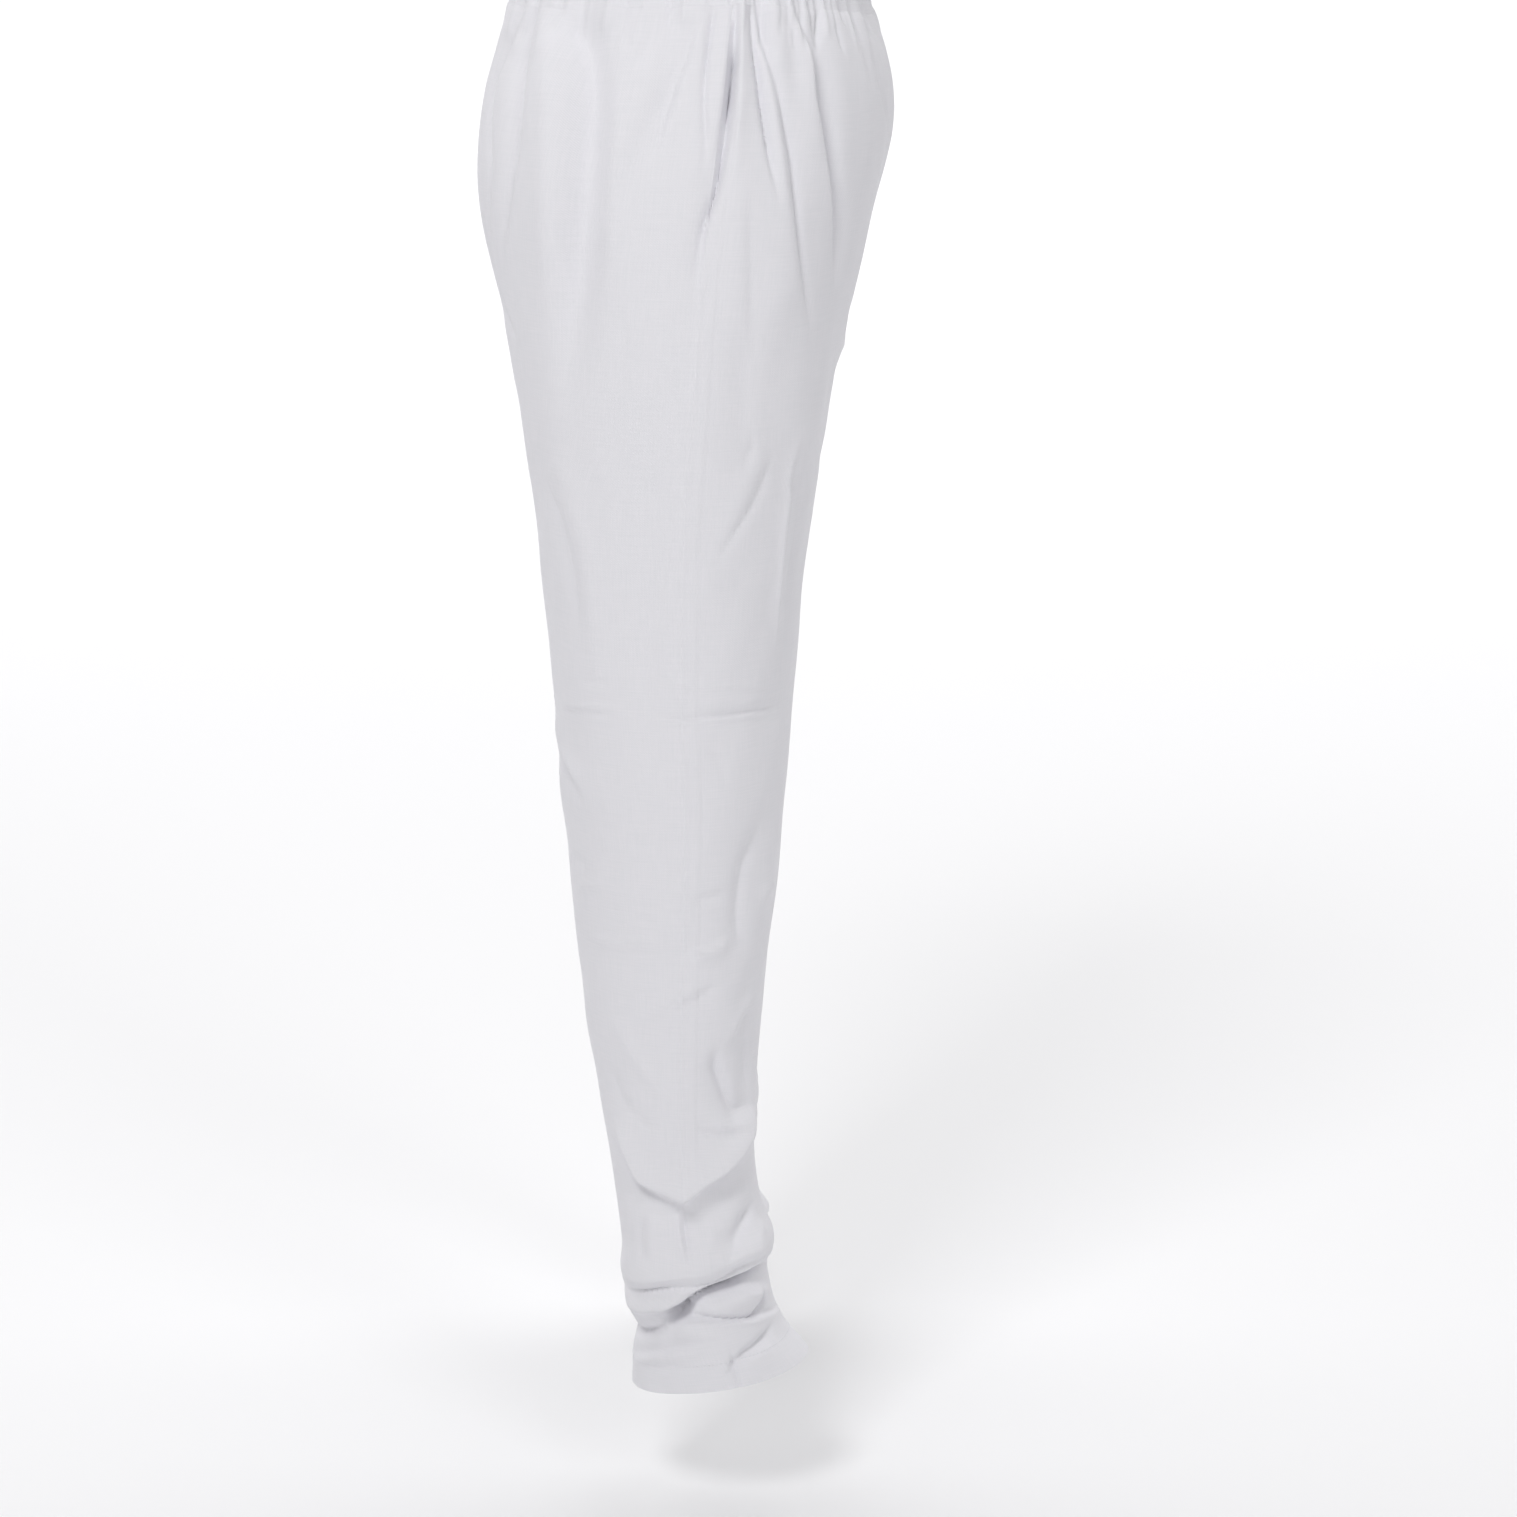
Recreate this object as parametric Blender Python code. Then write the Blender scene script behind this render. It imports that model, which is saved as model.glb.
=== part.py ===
"""Pyjama pants of white cotton in the form they hold when worn.

The garment is gathered onto a plain waistband and narrows down two long legs, whose cloth is pushed
up into rolls above the hem. Each leg has a front and a back panel, sewn at the side, the inseam and
the centre, and a hem turned up inside. Its front faces -Y, its right leg stands at -X, and the origin
is the middle of the waistband.
"""

import math
from collections import namedtuple

import bpy
import numpy as np

COLLECTION_NAME = "pyjama_pants"

# Driving sizes, in metres
WAIST_SEAM_Z = -0.018
BAND_HEIGHT = 0.036
SIDE_LENGTH = 0.997
CLOTH = 0.0013
BAND_CLOTH = 0.0026
HEM_CLOTH = 0.0011
HEM_DEPTH = 0.022
SEAM_GAP = 0.0003

# How far the waist seam dips at the centre front and the centre back, and the Y at which the slanting
# hem is level with its side length
FRONT_DIP = 0.019
BACK_DIP = 0.009
WAIST_DIP_REACH = 0.16
HEM_LEVEL_Y = -0.008
HEM_SLANT_REACH = 0.10

# Mesh density: columns across one panel, and rows in each stretch from the waist seam to the hem. The
# panels' last columns stand this small turn off the side seam, which itself is a seam gap wide.
PANEL_COLUMNS = 18
SIDE_SEAM_TURN = 0.0002
FORK_DROP = 0.345
ROW_STRETCHES = (
    (0.0, 0.12, 7),
    (0.12, FORK_DROP, 6),
    (FORK_DROP, 0.80, 7),
    (0.80, 0.86, 4),
    (0.86, SIDE_LENGTH, 14),
)
ARC_STEPS = 48

# One row for each level below the waist seam. front and back are where the cloth reaches furthest in Y,
# front_x and back_x how far from the centre plane it does so; side is the side seam's Y; outer and inner
# are a leg's furthest and nearest distances from the centre plane; seam_front and seam_back are the Y of
# the centre seams, which meet at the fork and go on down as the inseam.
Section = namedtuple("Section", "drop front front_x back back_x side outer inner seam_front seam_back")
SECTIONS = (
    Section(0.000, -0.127, 0.016, 0.131, 0.050, -0.028, 0.160, 0.000, -0.127, 0.130),
    Section(0.030, -0.138, 0.020, 0.139, 0.056, -0.025, 0.173, 0.000, -0.138, 0.138),
    Section(0.060, -0.143, 0.026, 0.148, 0.062, -0.022, 0.184, 0.000, -0.143, 0.146),
    Section(0.090, -0.142, 0.034, 0.153, 0.068, -0.018, 0.192, 0.000, -0.142, 0.150),
    Section(0.120, -0.137, 0.044, 0.154, 0.074, -0.014, 0.198, 0.000, -0.137, 0.149),
    Section(0.160, -0.127, 0.060, 0.150, 0.080, -0.010, 0.203, 0.000, -0.127, 0.143),
    Section(0.200, -0.117, 0.074, 0.142, 0.086, -0.006, 0.205, 0.000, -0.115, 0.131),
    Section(0.240, -0.107, 0.086, 0.134, 0.091, -0.003, 0.206, 0.000, -0.100, 0.114),
    Section(0.280, -0.099, 0.095, 0.127, 0.096, 0.000, 0.206, 0.000, -0.076, 0.089),
    Section(0.320, -0.092, 0.100, 0.121, 0.100, 0.003, 0.206, 0.000, -0.036, 0.052),
    Section(0.345, -0.088, 0.103, 0.117, 0.103, 0.005, 0.206, 0.000, 0.012, 0.012),
    Section(0.400, -0.080, 0.108, 0.111, 0.108, 0.007, 0.205, 0.008, 0.014, 0.014),
    Section(0.480, -0.072, 0.115, 0.104, 0.115, 0.008, 0.204, 0.024, 0.015, 0.015),
    Section(0.560, -0.066, 0.123, 0.098, 0.123, 0.006, 0.204, 0.040, 0.016, 0.016),
    Section(0.640, -0.059, 0.130, 0.090, 0.130, 0.007, 0.202, 0.056, 0.016, 0.016),
    Section(0.720, -0.049, 0.139, 0.081, 0.139, 0.009, 0.202, 0.074, 0.015, 0.015),
    Section(0.790, -0.044, 0.147, 0.070, 0.147, 0.010, 0.203, 0.090, 0.013, 0.013),
    Section(0.850, -0.0445, 0.154, 0.060, 0.154, 0.008, 0.205, 0.102, 0.008, 0.008),
    Section(0.895, -0.0505, 0.158, 0.054, 0.158, 0.004, 0.209, 0.108, 0.003, 0.003),
    Section(0.935, -0.054, 0.163, 0.050, 0.163, -0.002, 0.213, 0.112, -0.003, -0.003),
    Section(0.965, -0.062, 0.166, 0.047, 0.166, -0.012, 0.218, 0.114, -0.010, -0.010),
    Section(1.000, -0.085, 0.168, 0.047, 0.168, -0.026, 0.222, 0.115, -0.018, -0.018),
)
FORK_SOFTENS = 0.10

# How much further back each leg's cloth stays over the instep, from the ankle to the hem, how far its
# hem falls for each metre towards the heel, and how high the roll over its instep stands
Leg = namedtuple("Leg", "name side instep_back hem_fall instep_roll")
LEGS = (Leg("right", -1, 0.0, 0.183, 0.0060), Leg("left", 1, 0.028, 0.03, 0.0030))
INSTEP_START = 0.85

# Gathers hang from the waist seam of each leg. turn is the share of the way round a leg from the centre
# front (0) by the side seam (0.5) to the centre back (1), and lean how far the gather's foot has turned.
Gather = namedtuple("Gather", "turn lean length height")
GATHER_WIDTH = 0.0075
GATHER_FOOT_WIDTH = 0.0113
GATHERS = (
    Gather(0.056, 0.000, 0.030, 0.0020),
    Gather(0.125, -0.008, 0.042, 0.0028),
    Gather(0.208, -0.020, 0.050, 0.0030),
    Gather(0.292, -0.020, 0.034, 0.0022),
    Gather(0.375, -0.020, 0.055, 0.0034),
    Gather(0.431, -0.022, 0.046, 0.0032),
    Gather(0.486, -0.008, 0.085, 0.0044),
    Gather(0.542, 0.020, 0.060, 0.0036),
    Gather(0.611, 0.010, 0.030, 0.0022),
    Gather(0.667, 0.006, 0.024, 0.0018),
    Gather(0.736, -0.010, 0.044, 0.0030),
    Gather(0.806, 0.012, 0.036, 0.0034),
    Gather(0.861, 0.000, 0.050, 0.0032),
    Gather(0.931, 0.004, 0.034, 0.0024),
)

# Folds of each leg, each a line through its points. Every point gives its turn and drop, the height of
# the crest above the cloth there, below zero for a hollow, and how far from the line the fold fades.
FoldPoint = namedtuple("FoldPoint", "turn drop height width")
FOLDS = (
    # Pleats that fan out below the waist at the side
    ((0.494, 0.020, -0.0025, 0.007), (0.497, 0.100, -0.0045, 0.009), (0.512, 0.220, 0.0000, 0.016)),
    ((0.474, 0.060, 0.0020, 0.011), (0.462, 0.200, 0.0010, 0.018)),
    ((0.462, 0.006, -0.0030, 0.007), (0.446, 0.051, -0.0040, 0.009), (0.380, 0.160, -0.0005, 0.015)),
    ((0.430, 0.040, 0.0020, 0.010), (0.370, 0.190, 0.0020, 0.020)),
    ((0.405, 0.012, -0.0025, 0.008), (0.388, 0.088, -0.0030, 0.011), (0.318, 0.230, -0.0010, 0.020)),
    ((0.345, 0.010, -0.0025, 0.010), (0.330, 0.104, -0.0035, 0.014), (0.255, 0.225, -0.0010, 0.022)),
    ((0.570, 0.004, -0.0030, 0.008), (0.575, 0.065, -0.0030, 0.012), (0.612, 0.160, 0.0000, 0.020)),
    # Soft folds over the seat
    ((0.740, 0.030, 0.0025, 0.014), (0.695, 0.132, 0.0030, 0.020), (0.686, 0.280, 0.0010, 0.026)),
    ((0.684, 0.016, -0.0025, 0.014), (0.640, 0.131, -0.0030, 0.022), (0.652, 0.260, -0.0005, 0.026)),
    ((0.775, 0.010, -0.0030, 0.009), (0.759, 0.110, -0.0025, 0.012), (0.778, 0.170, 0.0000, 0.014)),
    ((0.840, 0.030, -0.0025, 0.010), (0.806, 0.130, -0.0005, 0.014)),
    ((0.830, 0.215, -0.0025, 0.012), (0.767, 0.240, -0.0005, 0.012)),
    # Drag lines that run out of the fork, front and back
    ((0.030, 0.250, -0.0020, 0.010), (0.180, 0.190, 0.0000, 0.016)),
    ((0.030, 0.290, 0.0030, 0.012), (0.200, 0.225, 0.0005, 0.018)),
    ((0.040, 0.330, -0.0030, 0.011), (0.210, 0.275, -0.0005, 0.018)),
    ((0.060, 0.380, 0.0020, 0.014), (0.210, 0.330, 0.0000, 0.020)),
    ((0.970, 0.285, 0.0030, 0.013), (0.840, 0.270, 0.0010, 0.018)),
    ((0.960, 0.330, -0.0030, 0.012), (0.830, 0.305, -0.0005, 0.020)),
    ((0.950, 0.385, 0.0025, 0.015), (0.830, 0.345, 0.0000, 0.022)),
    # Thigh, knee and calf
    ((0.313, 0.302, 0.0022, 0.012), (0.374, 0.410, 0.0004, 0.016)),
    ((0.660, 0.330, 0.0012, 0.020), (0.642, 0.480, 0.0014, 0.022)),
    ((0.495, 0.495, -0.0012, 0.012), (0.345, 0.497, -0.0014, 0.012)),
    ((0.720, 0.520, 0.0022, 0.013), (0.640, 0.560, 0.0006, 0.014)),
    ((0.860, 0.500, 0.0020, 0.014), (0.740, 0.540, -0.0010, 0.014)),
    ((0.369, 0.580, -0.0018, 0.014), (0.405, 0.660, -0.0008, 0.016)),
    ((0.369, 0.712, -0.0020, 0.011), (0.345, 0.785, -0.0030, 0.012)),
    # The large slack fold above the ankle, a roll over a hollow, and its turn towards the heel
    ((0.250, 0.800, 0.0004, 0.010), (0.345, 0.803, 0.0028, 0.010)),
    ((0.292, 0.808, 0.0012, 0.010), (0.380, 0.820, 0.0045, 0.011), (0.490, 0.848, 0.0045, 0.011)),
    ((0.506, 0.846, 0.0040, 0.011), (0.602, 0.836, 0.0035, 0.011), (0.650, 0.806, 0.0010, 0.012)),
    ((0.325, 0.838, -0.0022, 0.010), (0.395, 0.852, -0.0035, 0.011), (0.490, 0.876, -0.0030, 0.012)),
    ((0.530, 0.872, -0.0022, 0.012), (0.625, 0.858, -0.0022, 0.012)),
    # Rolls of cloth pushed up round the ankle
    ((0.350, 0.897, 0.0040, 0.010), (0.444, 0.898, 0.0040, 0.010), (0.600, 0.908, 0.0034, 0.011),
     (0.760, 0.918, 0.0030, 0.011)),
    ((0.240, 0.918, -0.0008, 0.009), (0.400, 0.918, -0.0050, 0.009), (0.500, 0.924, -0.0036, 0.009)),
    ((0.500, 0.936, -0.0040, 0.009), (0.575, 0.938, -0.0030, 0.009)),
    ((0.535, 0.922, 0.0030, 0.009), (0.740, 0.941, 0.0022, 0.010)),
    ((0.460, 0.935, 0.0034, 0.009), (0.300, 0.936, 0.0024, 0.009)),
    ((0.580, 0.950, -0.0036, 0.009), (0.760, 0.959, -0.0024, 0.009)),
    ((0.560, 0.953, 0.0024, 0.009), (0.420, 0.957, 0.0028, 0.009), (0.240, 0.964, 0.0008, 0.010)),
    ((0.780, 0.930, 0.0030, 0.012), (0.960, 0.915, 0.0030, 0.012)),
    ((0.760, 0.955, -0.0030, 0.010), (0.950, 0.945, -0.0026, 0.012)),
    ((0.040, 0.925, -0.0030, 0.010), (0.200, 0.920, -0.0020, 0.010)),
)

# The roll over the instep, whose height is a share of the leg's own instep_roll
RollPoint = namedtuple("RollPoint", "turn drop share")
ROLL_WIDTH = 0.016
INSTEP_ROLL = (RollPoint(0.060, 0.896, 0.5), RollPoint(0.200, 0.898, 1.0), RollPoint(0.340, 0.898, 0.8))

MATERIAL_COLOUR = (0.76, 0.76, 0.79, 1.0)
MATERIAL_ROUGHNESS = 0.85


def smooth_step(value):
    """Rise softly from 0 to 1 as the value does."""
    clipped = np.clip(value, 0.0, 1.0)
    return clipped * clipped * (3.0 - 2.0 * clipped)


def section_value(name, drop):
    """Read one column of the sections at any drop, on a smooth curve through its rows."""
    levels = np.array([section.drop for section in SECTIONS])
    values = np.array([getattr(section, name) for section in SECTIONS])
    slopes = np.gradient(values, levels)
    index = np.clip(np.searchsorted(levels, drop, side="right") - 1, 0, len(levels) - 2)
    span = levels[index + 1] - levels[index]
    t = (drop - levels[index]) / span
    start = values[index] * (1 + 2 * t) * (1 - t) ** 2 + slopes[index] * span * t * (1 - t) ** 2
    end = values[index + 1] * t * t * (3 - 2 * t) + slopes[index + 1] * span * t * t * (t - 1)
    return start + end


def half_ring(seam_y, reach_y, reach_x, side_y, drop):
    """Points from the centre seam or inseam to the side seam, by the front or the back of a leg.

    Above the fork the ring leaves the centre plane square to it; below, it turns round the inner leg.
    """
    inner = max(float(section_value("inner", drop)), 0.0)
    outer = float(section_value("outer", drop))
    angles = np.linspace(0.0, math.pi / 2, ARC_STEPS)
    torso = float(smooth_step((FORK_DROP - drop) / FORK_SOFTENS))
    rise = torso * np.sin(angles) ** 2 + (1 - torso) * np.sin(angles)
    back_off = torso * (1 - angles / (math.pi / 2)) + (1 - torso) * np.cos(angles)
    inner_x = reach_x - (reach_x - inner) * back_off
    inner_y = seam_y + (reach_y - seam_y) * rise
    outer_x = reach_x + (outer - reach_x) * np.sin(angles)
    outer_y = side_y + (reach_y - side_y) * np.cos(angles)
    return np.concatenate([inner_x, outer_x[1:]]), np.concatenate([inner_y, outer_y[1:]])


def spread(xs, ys, shares):
    """Take points from a run at given shares of its length, stopping half a seam gap before its end."""
    lengths = np.concatenate([[0.0], np.cumsum(np.hypot(np.diff(xs), np.diff(ys)))])
    wanted = np.minimum(shares * lengths[-1], lengths[-1] - SEAM_GAP / 2)
    return np.interp(wanted, lengths, xs), np.interp(wanted, lengths, ys), lengths[-1]


def leg_level(leg, drop, turns):
    """Distances from the centre plane and Y of one level of a leg, and its half girth, at each turn."""
    pull = leg.instep_back * float(smooth_step((drop - INSTEP_START) / (SIDE_LENGTH - INSTEP_START)))
    section = {name: float(section_value(name, drop)) for name in Section._fields[1:]}
    front = section["front"] + pull
    side = section["side"] + pull / 2
    seam_front = section["seam_front"]
    seam_back = section["seam_back"]
    if drop >= FORK_DROP:
        seam_front = seam_back = (seam_front + seam_back) / 2 + pull / 2
    seam_front -= SEAM_GAP / 2
    seam_back += SEAM_GAP / 2
    in_front = turns <= 0.5
    front_ring = half_ring(seam_front, front, section["front_x"], side, drop)
    back_ring = half_ring(seam_back, section["back"], section["back_x"], side, drop)
    front_x, front_y, front_girth = spread(*front_ring, turns[in_front] * 2)
    back_x, back_y, back_girth = spread(*back_ring, 2 - turns[~in_front] * 2)
    girth = front_girth + back_girth
    return np.concatenate([front_x, back_x]), np.concatenate([front_y, back_y]), girth


def level_z(leg, drop, turns, ys):
    """Height of a level at each turn: the waist seam dips front and back, and the hem slants."""
    front_share = np.cos(np.clip(turns, 0, 0.5) * math.pi) ** 2
    back_share = np.cos(np.clip(1 - turns, 0, 0.5) * math.pi) ** 2
    waist = float(smooth_step(1 - drop / WAIST_DIP_REACH))
    dip = waist * (FRONT_DIP * front_share + BACK_DIP * back_share)
    hem = float(smooth_step((drop - SIDE_LENGTH + HEM_SLANT_REACH) / HEM_SLANT_REACH))
    return WAIST_SEAM_Z - drop - dip - hem * leg.hem_fall * (ys - HEM_LEVEL_Y)


def leg_folds(leg):
    """The folds of a leg, with each gather as a ridge that fades out down the cloth."""
    lines = [[FoldPoint(*point) for point in line] for line in FOLDS]
    for gather in GATHERS:
        head = FoldPoint(gather.turn, 0.0, gather.height, GATHER_WIDTH)
        foot = FoldPoint(gather.turn + gather.lean, gather.length, 0.0, GATHER_FOOT_WIDTH)
        lines.append([head, foot])
    lines.append([
        FoldPoint(point.turn, point.drop, leg.instep_roll * point.share, ROLL_WIDTH)
        for point in INSTEP_ROLL
    ])
    return lines


def fold_height(lines, drops, turns, girths):
    """Rise of the cloth at each row and column, summed over the folds."""
    total = np.zeros((len(drops), len(turns)))
    girth = np.asarray(girths)[:, None]
    for line in lines:
        nearest = np.full_like(total, np.inf)
        rise = np.zeros_like(total)
        for start, end in zip(line, line[1:]):
            along_x = (end.turn - start.turn) * girth
            along_z = end.drop - start.drop
            away_x = (turns[None, :] - start.turn) * girth
            away_z = drops[:, None] - start.drop
            length_squared = along_x ** 2 + along_z ** 2
            share = np.clip((away_x * along_x + away_z * along_z) / length_squared, 0.0, 1.0)
            distance = np.hypot(away_x - share * along_x, away_z - share * along_z)
            height = start.height + (end.height - start.height) * share
            width = start.width + (end.width - start.width) * share
            closer = distance < nearest
            rise = np.where(closer, height * np.exp(-((distance / width) ** 2)), rise)
            nearest = np.where(closer, distance, nearest)
        total += rise
    return total


def leg_grid(leg, drops, turns, folds):
    """Outer points and outward normals of one leg's cloth, as rows down it and columns round it."""
    levels = [leg_level(leg, drop, turns) for drop in drops]
    points = np.empty((len(drops), len(turns), 3))
    for row, (drop, (xs, ys, _)) in enumerate(zip(drops, levels)):
        points[row, :, 0] = leg.side * np.maximum(xs, SEAM_GAP / 2)
        points[row, :, 1] = ys
        points[row, :, 2] = level_z(leg, drop, turns, ys)
    normals = grid_normals(points, drops, turns, leg.side)
    rise = fold_height(folds, drops, turns, [girth for _, _, girth in levels])
    points = keep_to_side(points + normals * rise[..., None], leg.side)
    return points, grid_normals(points, drops, turns, leg.side)


def grid_normals(points, drops, turns, side):
    """Unit normals that point out of the leg, square to the gap along the inseam."""
    down = np.gradient(points, drops, axis=0)
    round_leg = np.gradient(points, turns, axis=1)
    normals = np.cross(down, round_leg) * side
    below_fork = drops >= FORK_DROP
    normals[below_fork, 0, 1] = 0.0
    normals[below_fork, -1, 1] = 0.0
    return normals / np.linalg.norm(normals, axis=2, keepdims=True)


def keep_to_side(points, side):
    """Hold points on their own side of the centre plane, half a seam gap clear of it."""
    kept = points.copy()
    kept[..., 0] = side * np.maximum(kept[..., 0] * side, SEAM_GAP / 2)
    return kept


def wall_faces(rows, columns, closed):
    """Faces of a wall whose outer grid is listed before its inner grid, with its rim."""
    def outer(row, column):
        return row * columns + column % columns

    def inner(row, column):
        return rows * columns + outer(row, column)

    faces = []
    spans = columns if closed else columns - 1
    for row in range(rows - 1):
        for column in range(spans):
            faces.append((outer(row, column), outer(row + 1, column),
                          outer(row + 1, column + 1), outer(row, column + 1)))
            faces.append((inner(row, column), inner(row, column + 1),
                          inner(row + 1, column + 1), inner(row + 1, column)))
    for column in range(spans):
        faces.append((outer(0, column), outer(0, column + 1), inner(0, column + 1), inner(0, column)))
        faces.append((outer(rows - 1, column), inner(rows - 1, column),
                      inner(rows - 1, column + 1), outer(rows - 1, column + 1)))
    if not closed:
        for row in range(rows - 1):
            faces.append((outer(row, 0), inner(row, 0), inner(row + 1, 0), outer(row + 1, 0)))
            faces.append((outer(row, columns - 1), outer(row + 1, columns - 1),
                          inner(row + 1, columns - 1), inner(row, columns - 1)))
    return faces


def add_wall(name, outer_points, inner_points, flipped, closed, material, collection):
    """Make one named solid from the two sides of a wall of cloth."""
    rows, columns, _ = outer_points.shape
    vertices = np.concatenate([outer_points.reshape(-1, 3), inner_points.reshape(-1, 3)])
    faces = wall_faces(rows, columns, closed)
    if flipped:
        faces = [tuple(reversed(face)) for face in faces]
    mesh = bpy.data.meshes.new(name)
    mesh.from_pydata([tuple(point) for point in vertices.tolist()], [], faces)
    mesh.validate()
    mesh.shade_smooth()
    mesh.materials.append(material)
    piece = bpy.data.objects.new(name, mesh)
    collection.objects.link(piece)
    return piece


def cotton(name):
    """Plain white woven cotton, matt."""
    material = bpy.data.materials.new(name)
    material.use_nodes = True
    shader = material.node_tree.nodes["Principled BSDF"]
    shader.inputs["Base Color"].default_value = MATERIAL_COLOUR
    shader.inputs["Roughness"].default_value = MATERIAL_ROUGHNESS
    shader.inputs["Metallic"].default_value = 0.0
    return material


def row_drops():
    """Levels of the mesh rows: close at the gathers and at the rolls above the hem, wider between."""
    drops = [0.0]
    for start, end, count in ROW_STRETCHES:
        drops.extend(np.linspace(start, end, count + 1)[1:])
    return np.array(drops)


def panel_turns():
    """Columns round a leg: the front panel's, then the back panel's, either side of the side seam."""
    front = np.linspace(0.0, 0.5 - SIDE_SEAM_TURN, PANEL_COLUMNS + 1)
    back = np.linspace(0.5 + SIDE_SEAM_TURN, 1.0, PANEL_COLUMNS + 1)
    return np.concatenate([front, back])


def build_leg(leg, collection):
    """Front panel, back panel and turned-up hem of one leg."""
    drops = row_drops()
    turns = panel_turns()
    outer, normals = leg_grid(leg, drops, turns, leg_folds(leg))
    inner = keep_to_side(outer - normals * CLOTH, leg.side)
    flipped = leg.side < 0
    split = PANEL_COLUMNS + 1
    for part, columns in (("front", slice(0, split)), ("back", slice(split, None))):
        name = f"{leg.name}_{part}"
        add_wall(name, outer[:, columns], inner[:, columns], flipped, False, cotton(name), collection)
    hem_rows = drops >= SIDE_LENGTH - HEM_DEPTH
    hem_outer = outer[hem_rows] - normals[hem_rows] * (CLOTH + SEAM_GAP)
    hem_inner = hem_outer - normals[hem_rows] * HEM_CLOTH
    name = f"{leg.name}_hem"
    add_wall(name, hem_outer, hem_inner, flipped, True, cotton(name), collection)
    return outer[0], normals[0]


def build_waistband(right_edge, left_edge, collection):
    """The band that stands on the top edges of the four panels, as one closed ring."""
    right_points, right_normals = right_edge
    left_points, left_normals = left_edge
    points = np.concatenate([right_points, left_points[::-1]])
    normals = np.concatenate([right_normals, left_normals[::-1]])
    normals[:, 2] = 0.0
    normals /= np.linalg.norm(normals, axis=1, keepdims=True)
    heights = np.array([BAND_HEIGHT, BAND_HEIGHT / 2, SEAM_GAP])
    outer = points[None, :, :] + np.array([0.0, 0.0, 1.0]) * heights[:, None, None]
    inner = outer - normals[None, :, :] * BAND_CLOTH
    add_wall("waistband", outer, inner, True, True, cotton("waistband"), collection)


def main():
    """Clear the scene and build the pyjama pants."""
    for item in list(bpy.data.objects):
        bpy.data.objects.remove(item, do_unlink=True)
    collection = bpy.data.collections.new(COLLECTION_NAME)
    bpy.context.scene.collection.children.link(collection)
    right_edge, left_edge = [build_leg(leg, collection) for leg in LEGS]
    build_waistband(right_edge, left_edge, collection)


main()
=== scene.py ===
"""White cotton pyjama pants as they hang when worn, dressed on the fixed frame.

Four panels of cotton cloth, gathered onto a waistband and creased down both legs, two turned-up hems
and their stitches, on a plain pale floor under soft studio light.
"""

import math
from collections import namedtuple

import bpy
import numpy as np
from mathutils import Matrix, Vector


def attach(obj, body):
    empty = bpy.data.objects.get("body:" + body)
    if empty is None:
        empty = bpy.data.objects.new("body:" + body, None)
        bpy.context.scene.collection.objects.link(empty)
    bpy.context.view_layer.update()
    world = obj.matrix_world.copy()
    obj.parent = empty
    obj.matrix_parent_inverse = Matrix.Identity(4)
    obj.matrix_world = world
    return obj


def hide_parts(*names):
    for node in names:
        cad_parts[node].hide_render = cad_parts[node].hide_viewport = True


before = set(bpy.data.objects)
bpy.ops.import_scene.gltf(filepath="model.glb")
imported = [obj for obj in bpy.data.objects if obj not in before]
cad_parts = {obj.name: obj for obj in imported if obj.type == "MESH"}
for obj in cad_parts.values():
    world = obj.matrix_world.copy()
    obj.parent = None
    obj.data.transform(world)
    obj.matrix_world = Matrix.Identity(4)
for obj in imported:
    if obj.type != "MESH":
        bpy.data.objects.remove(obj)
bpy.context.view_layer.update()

# The camera stands level with the wearer's chest, on the right leg's side, and looks slightly down
PHOTO_PIXELS = 1517
FOCAL_PIXELS = 4632
SENSOR_MM = 36.0
CAMERA_PLACE = (-3.37, -0.046, 0.287)
CAMERA_PITCH = math.radians(14.66)
FLOOR_Z = -1.113
FLOOR_SIZE = 60.0

# Sizes of the sewn garment, in metres
WAIST_SEAM_Z = -0.018
SIDE_LENGTH = 0.997
FORK_DROP = 0.345
HEM_DEPTH = 0.022
CLOTH = 0.0009
HEM_CLOTH = 0.0009
SEAM_GAP = 0.00004
FRONT_DIP = 0.019
BACK_DIP = 0.009
WAIST_DIP_REACH = 0.16
HEM_LEVEL_Y = -0.008
HEM_SLANT_REACH = 0.10
FORK_SOFTENS = 0.10
INSTEP_START = 0.85
ARC_STEPS = 96

# The waistband: it draws in above the waist seam, has a rounded top edge and a stitched channel below it
BAND_HEIGHT = 0.036
BAND_CLOTH = 0.0024
BAND_ROWS = 15
BAND_FLARE = 0.0026
BAND_FLARE_HEIGHT = 0.008
BAND_EDGE_HEIGHT = 0.002
BAND_EDGE_INSET = 0.0009
BAND_CHANNEL_DROP = 0.005
BAND_CHANNEL_DEPTH = 0.0006
BAND_CHANNEL_WIDTH = 0.0012

# Fineness of the cloth's mesh: columns across a panel, and rows in each stretch down the leg
FRONT_COLUMNS = ((0.0, 0.24, 30), (0.24, 0.5, 100))
BACK_COLUMNS = ((0.5, 0.60, 40), (0.60, 0.86, 60), (0.86, 1.0, 30))
PANEL_COLUMNS = 130
ROW_STRETCHES = ((0.0, 0.16, 50), (0.16, 0.26, 20), (0.26, 0.46, 48), (0.46, 0.52, 32), (0.52, 0.60, 18),
                 (0.60, 0.79, 58), (0.79, SIDE_LENGTH, 140))

# The tables of sections, folds and creases are in millimetres and, for what lies round a leg, in
# thousandths of the way
THOUSANDTHS = 1000

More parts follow.
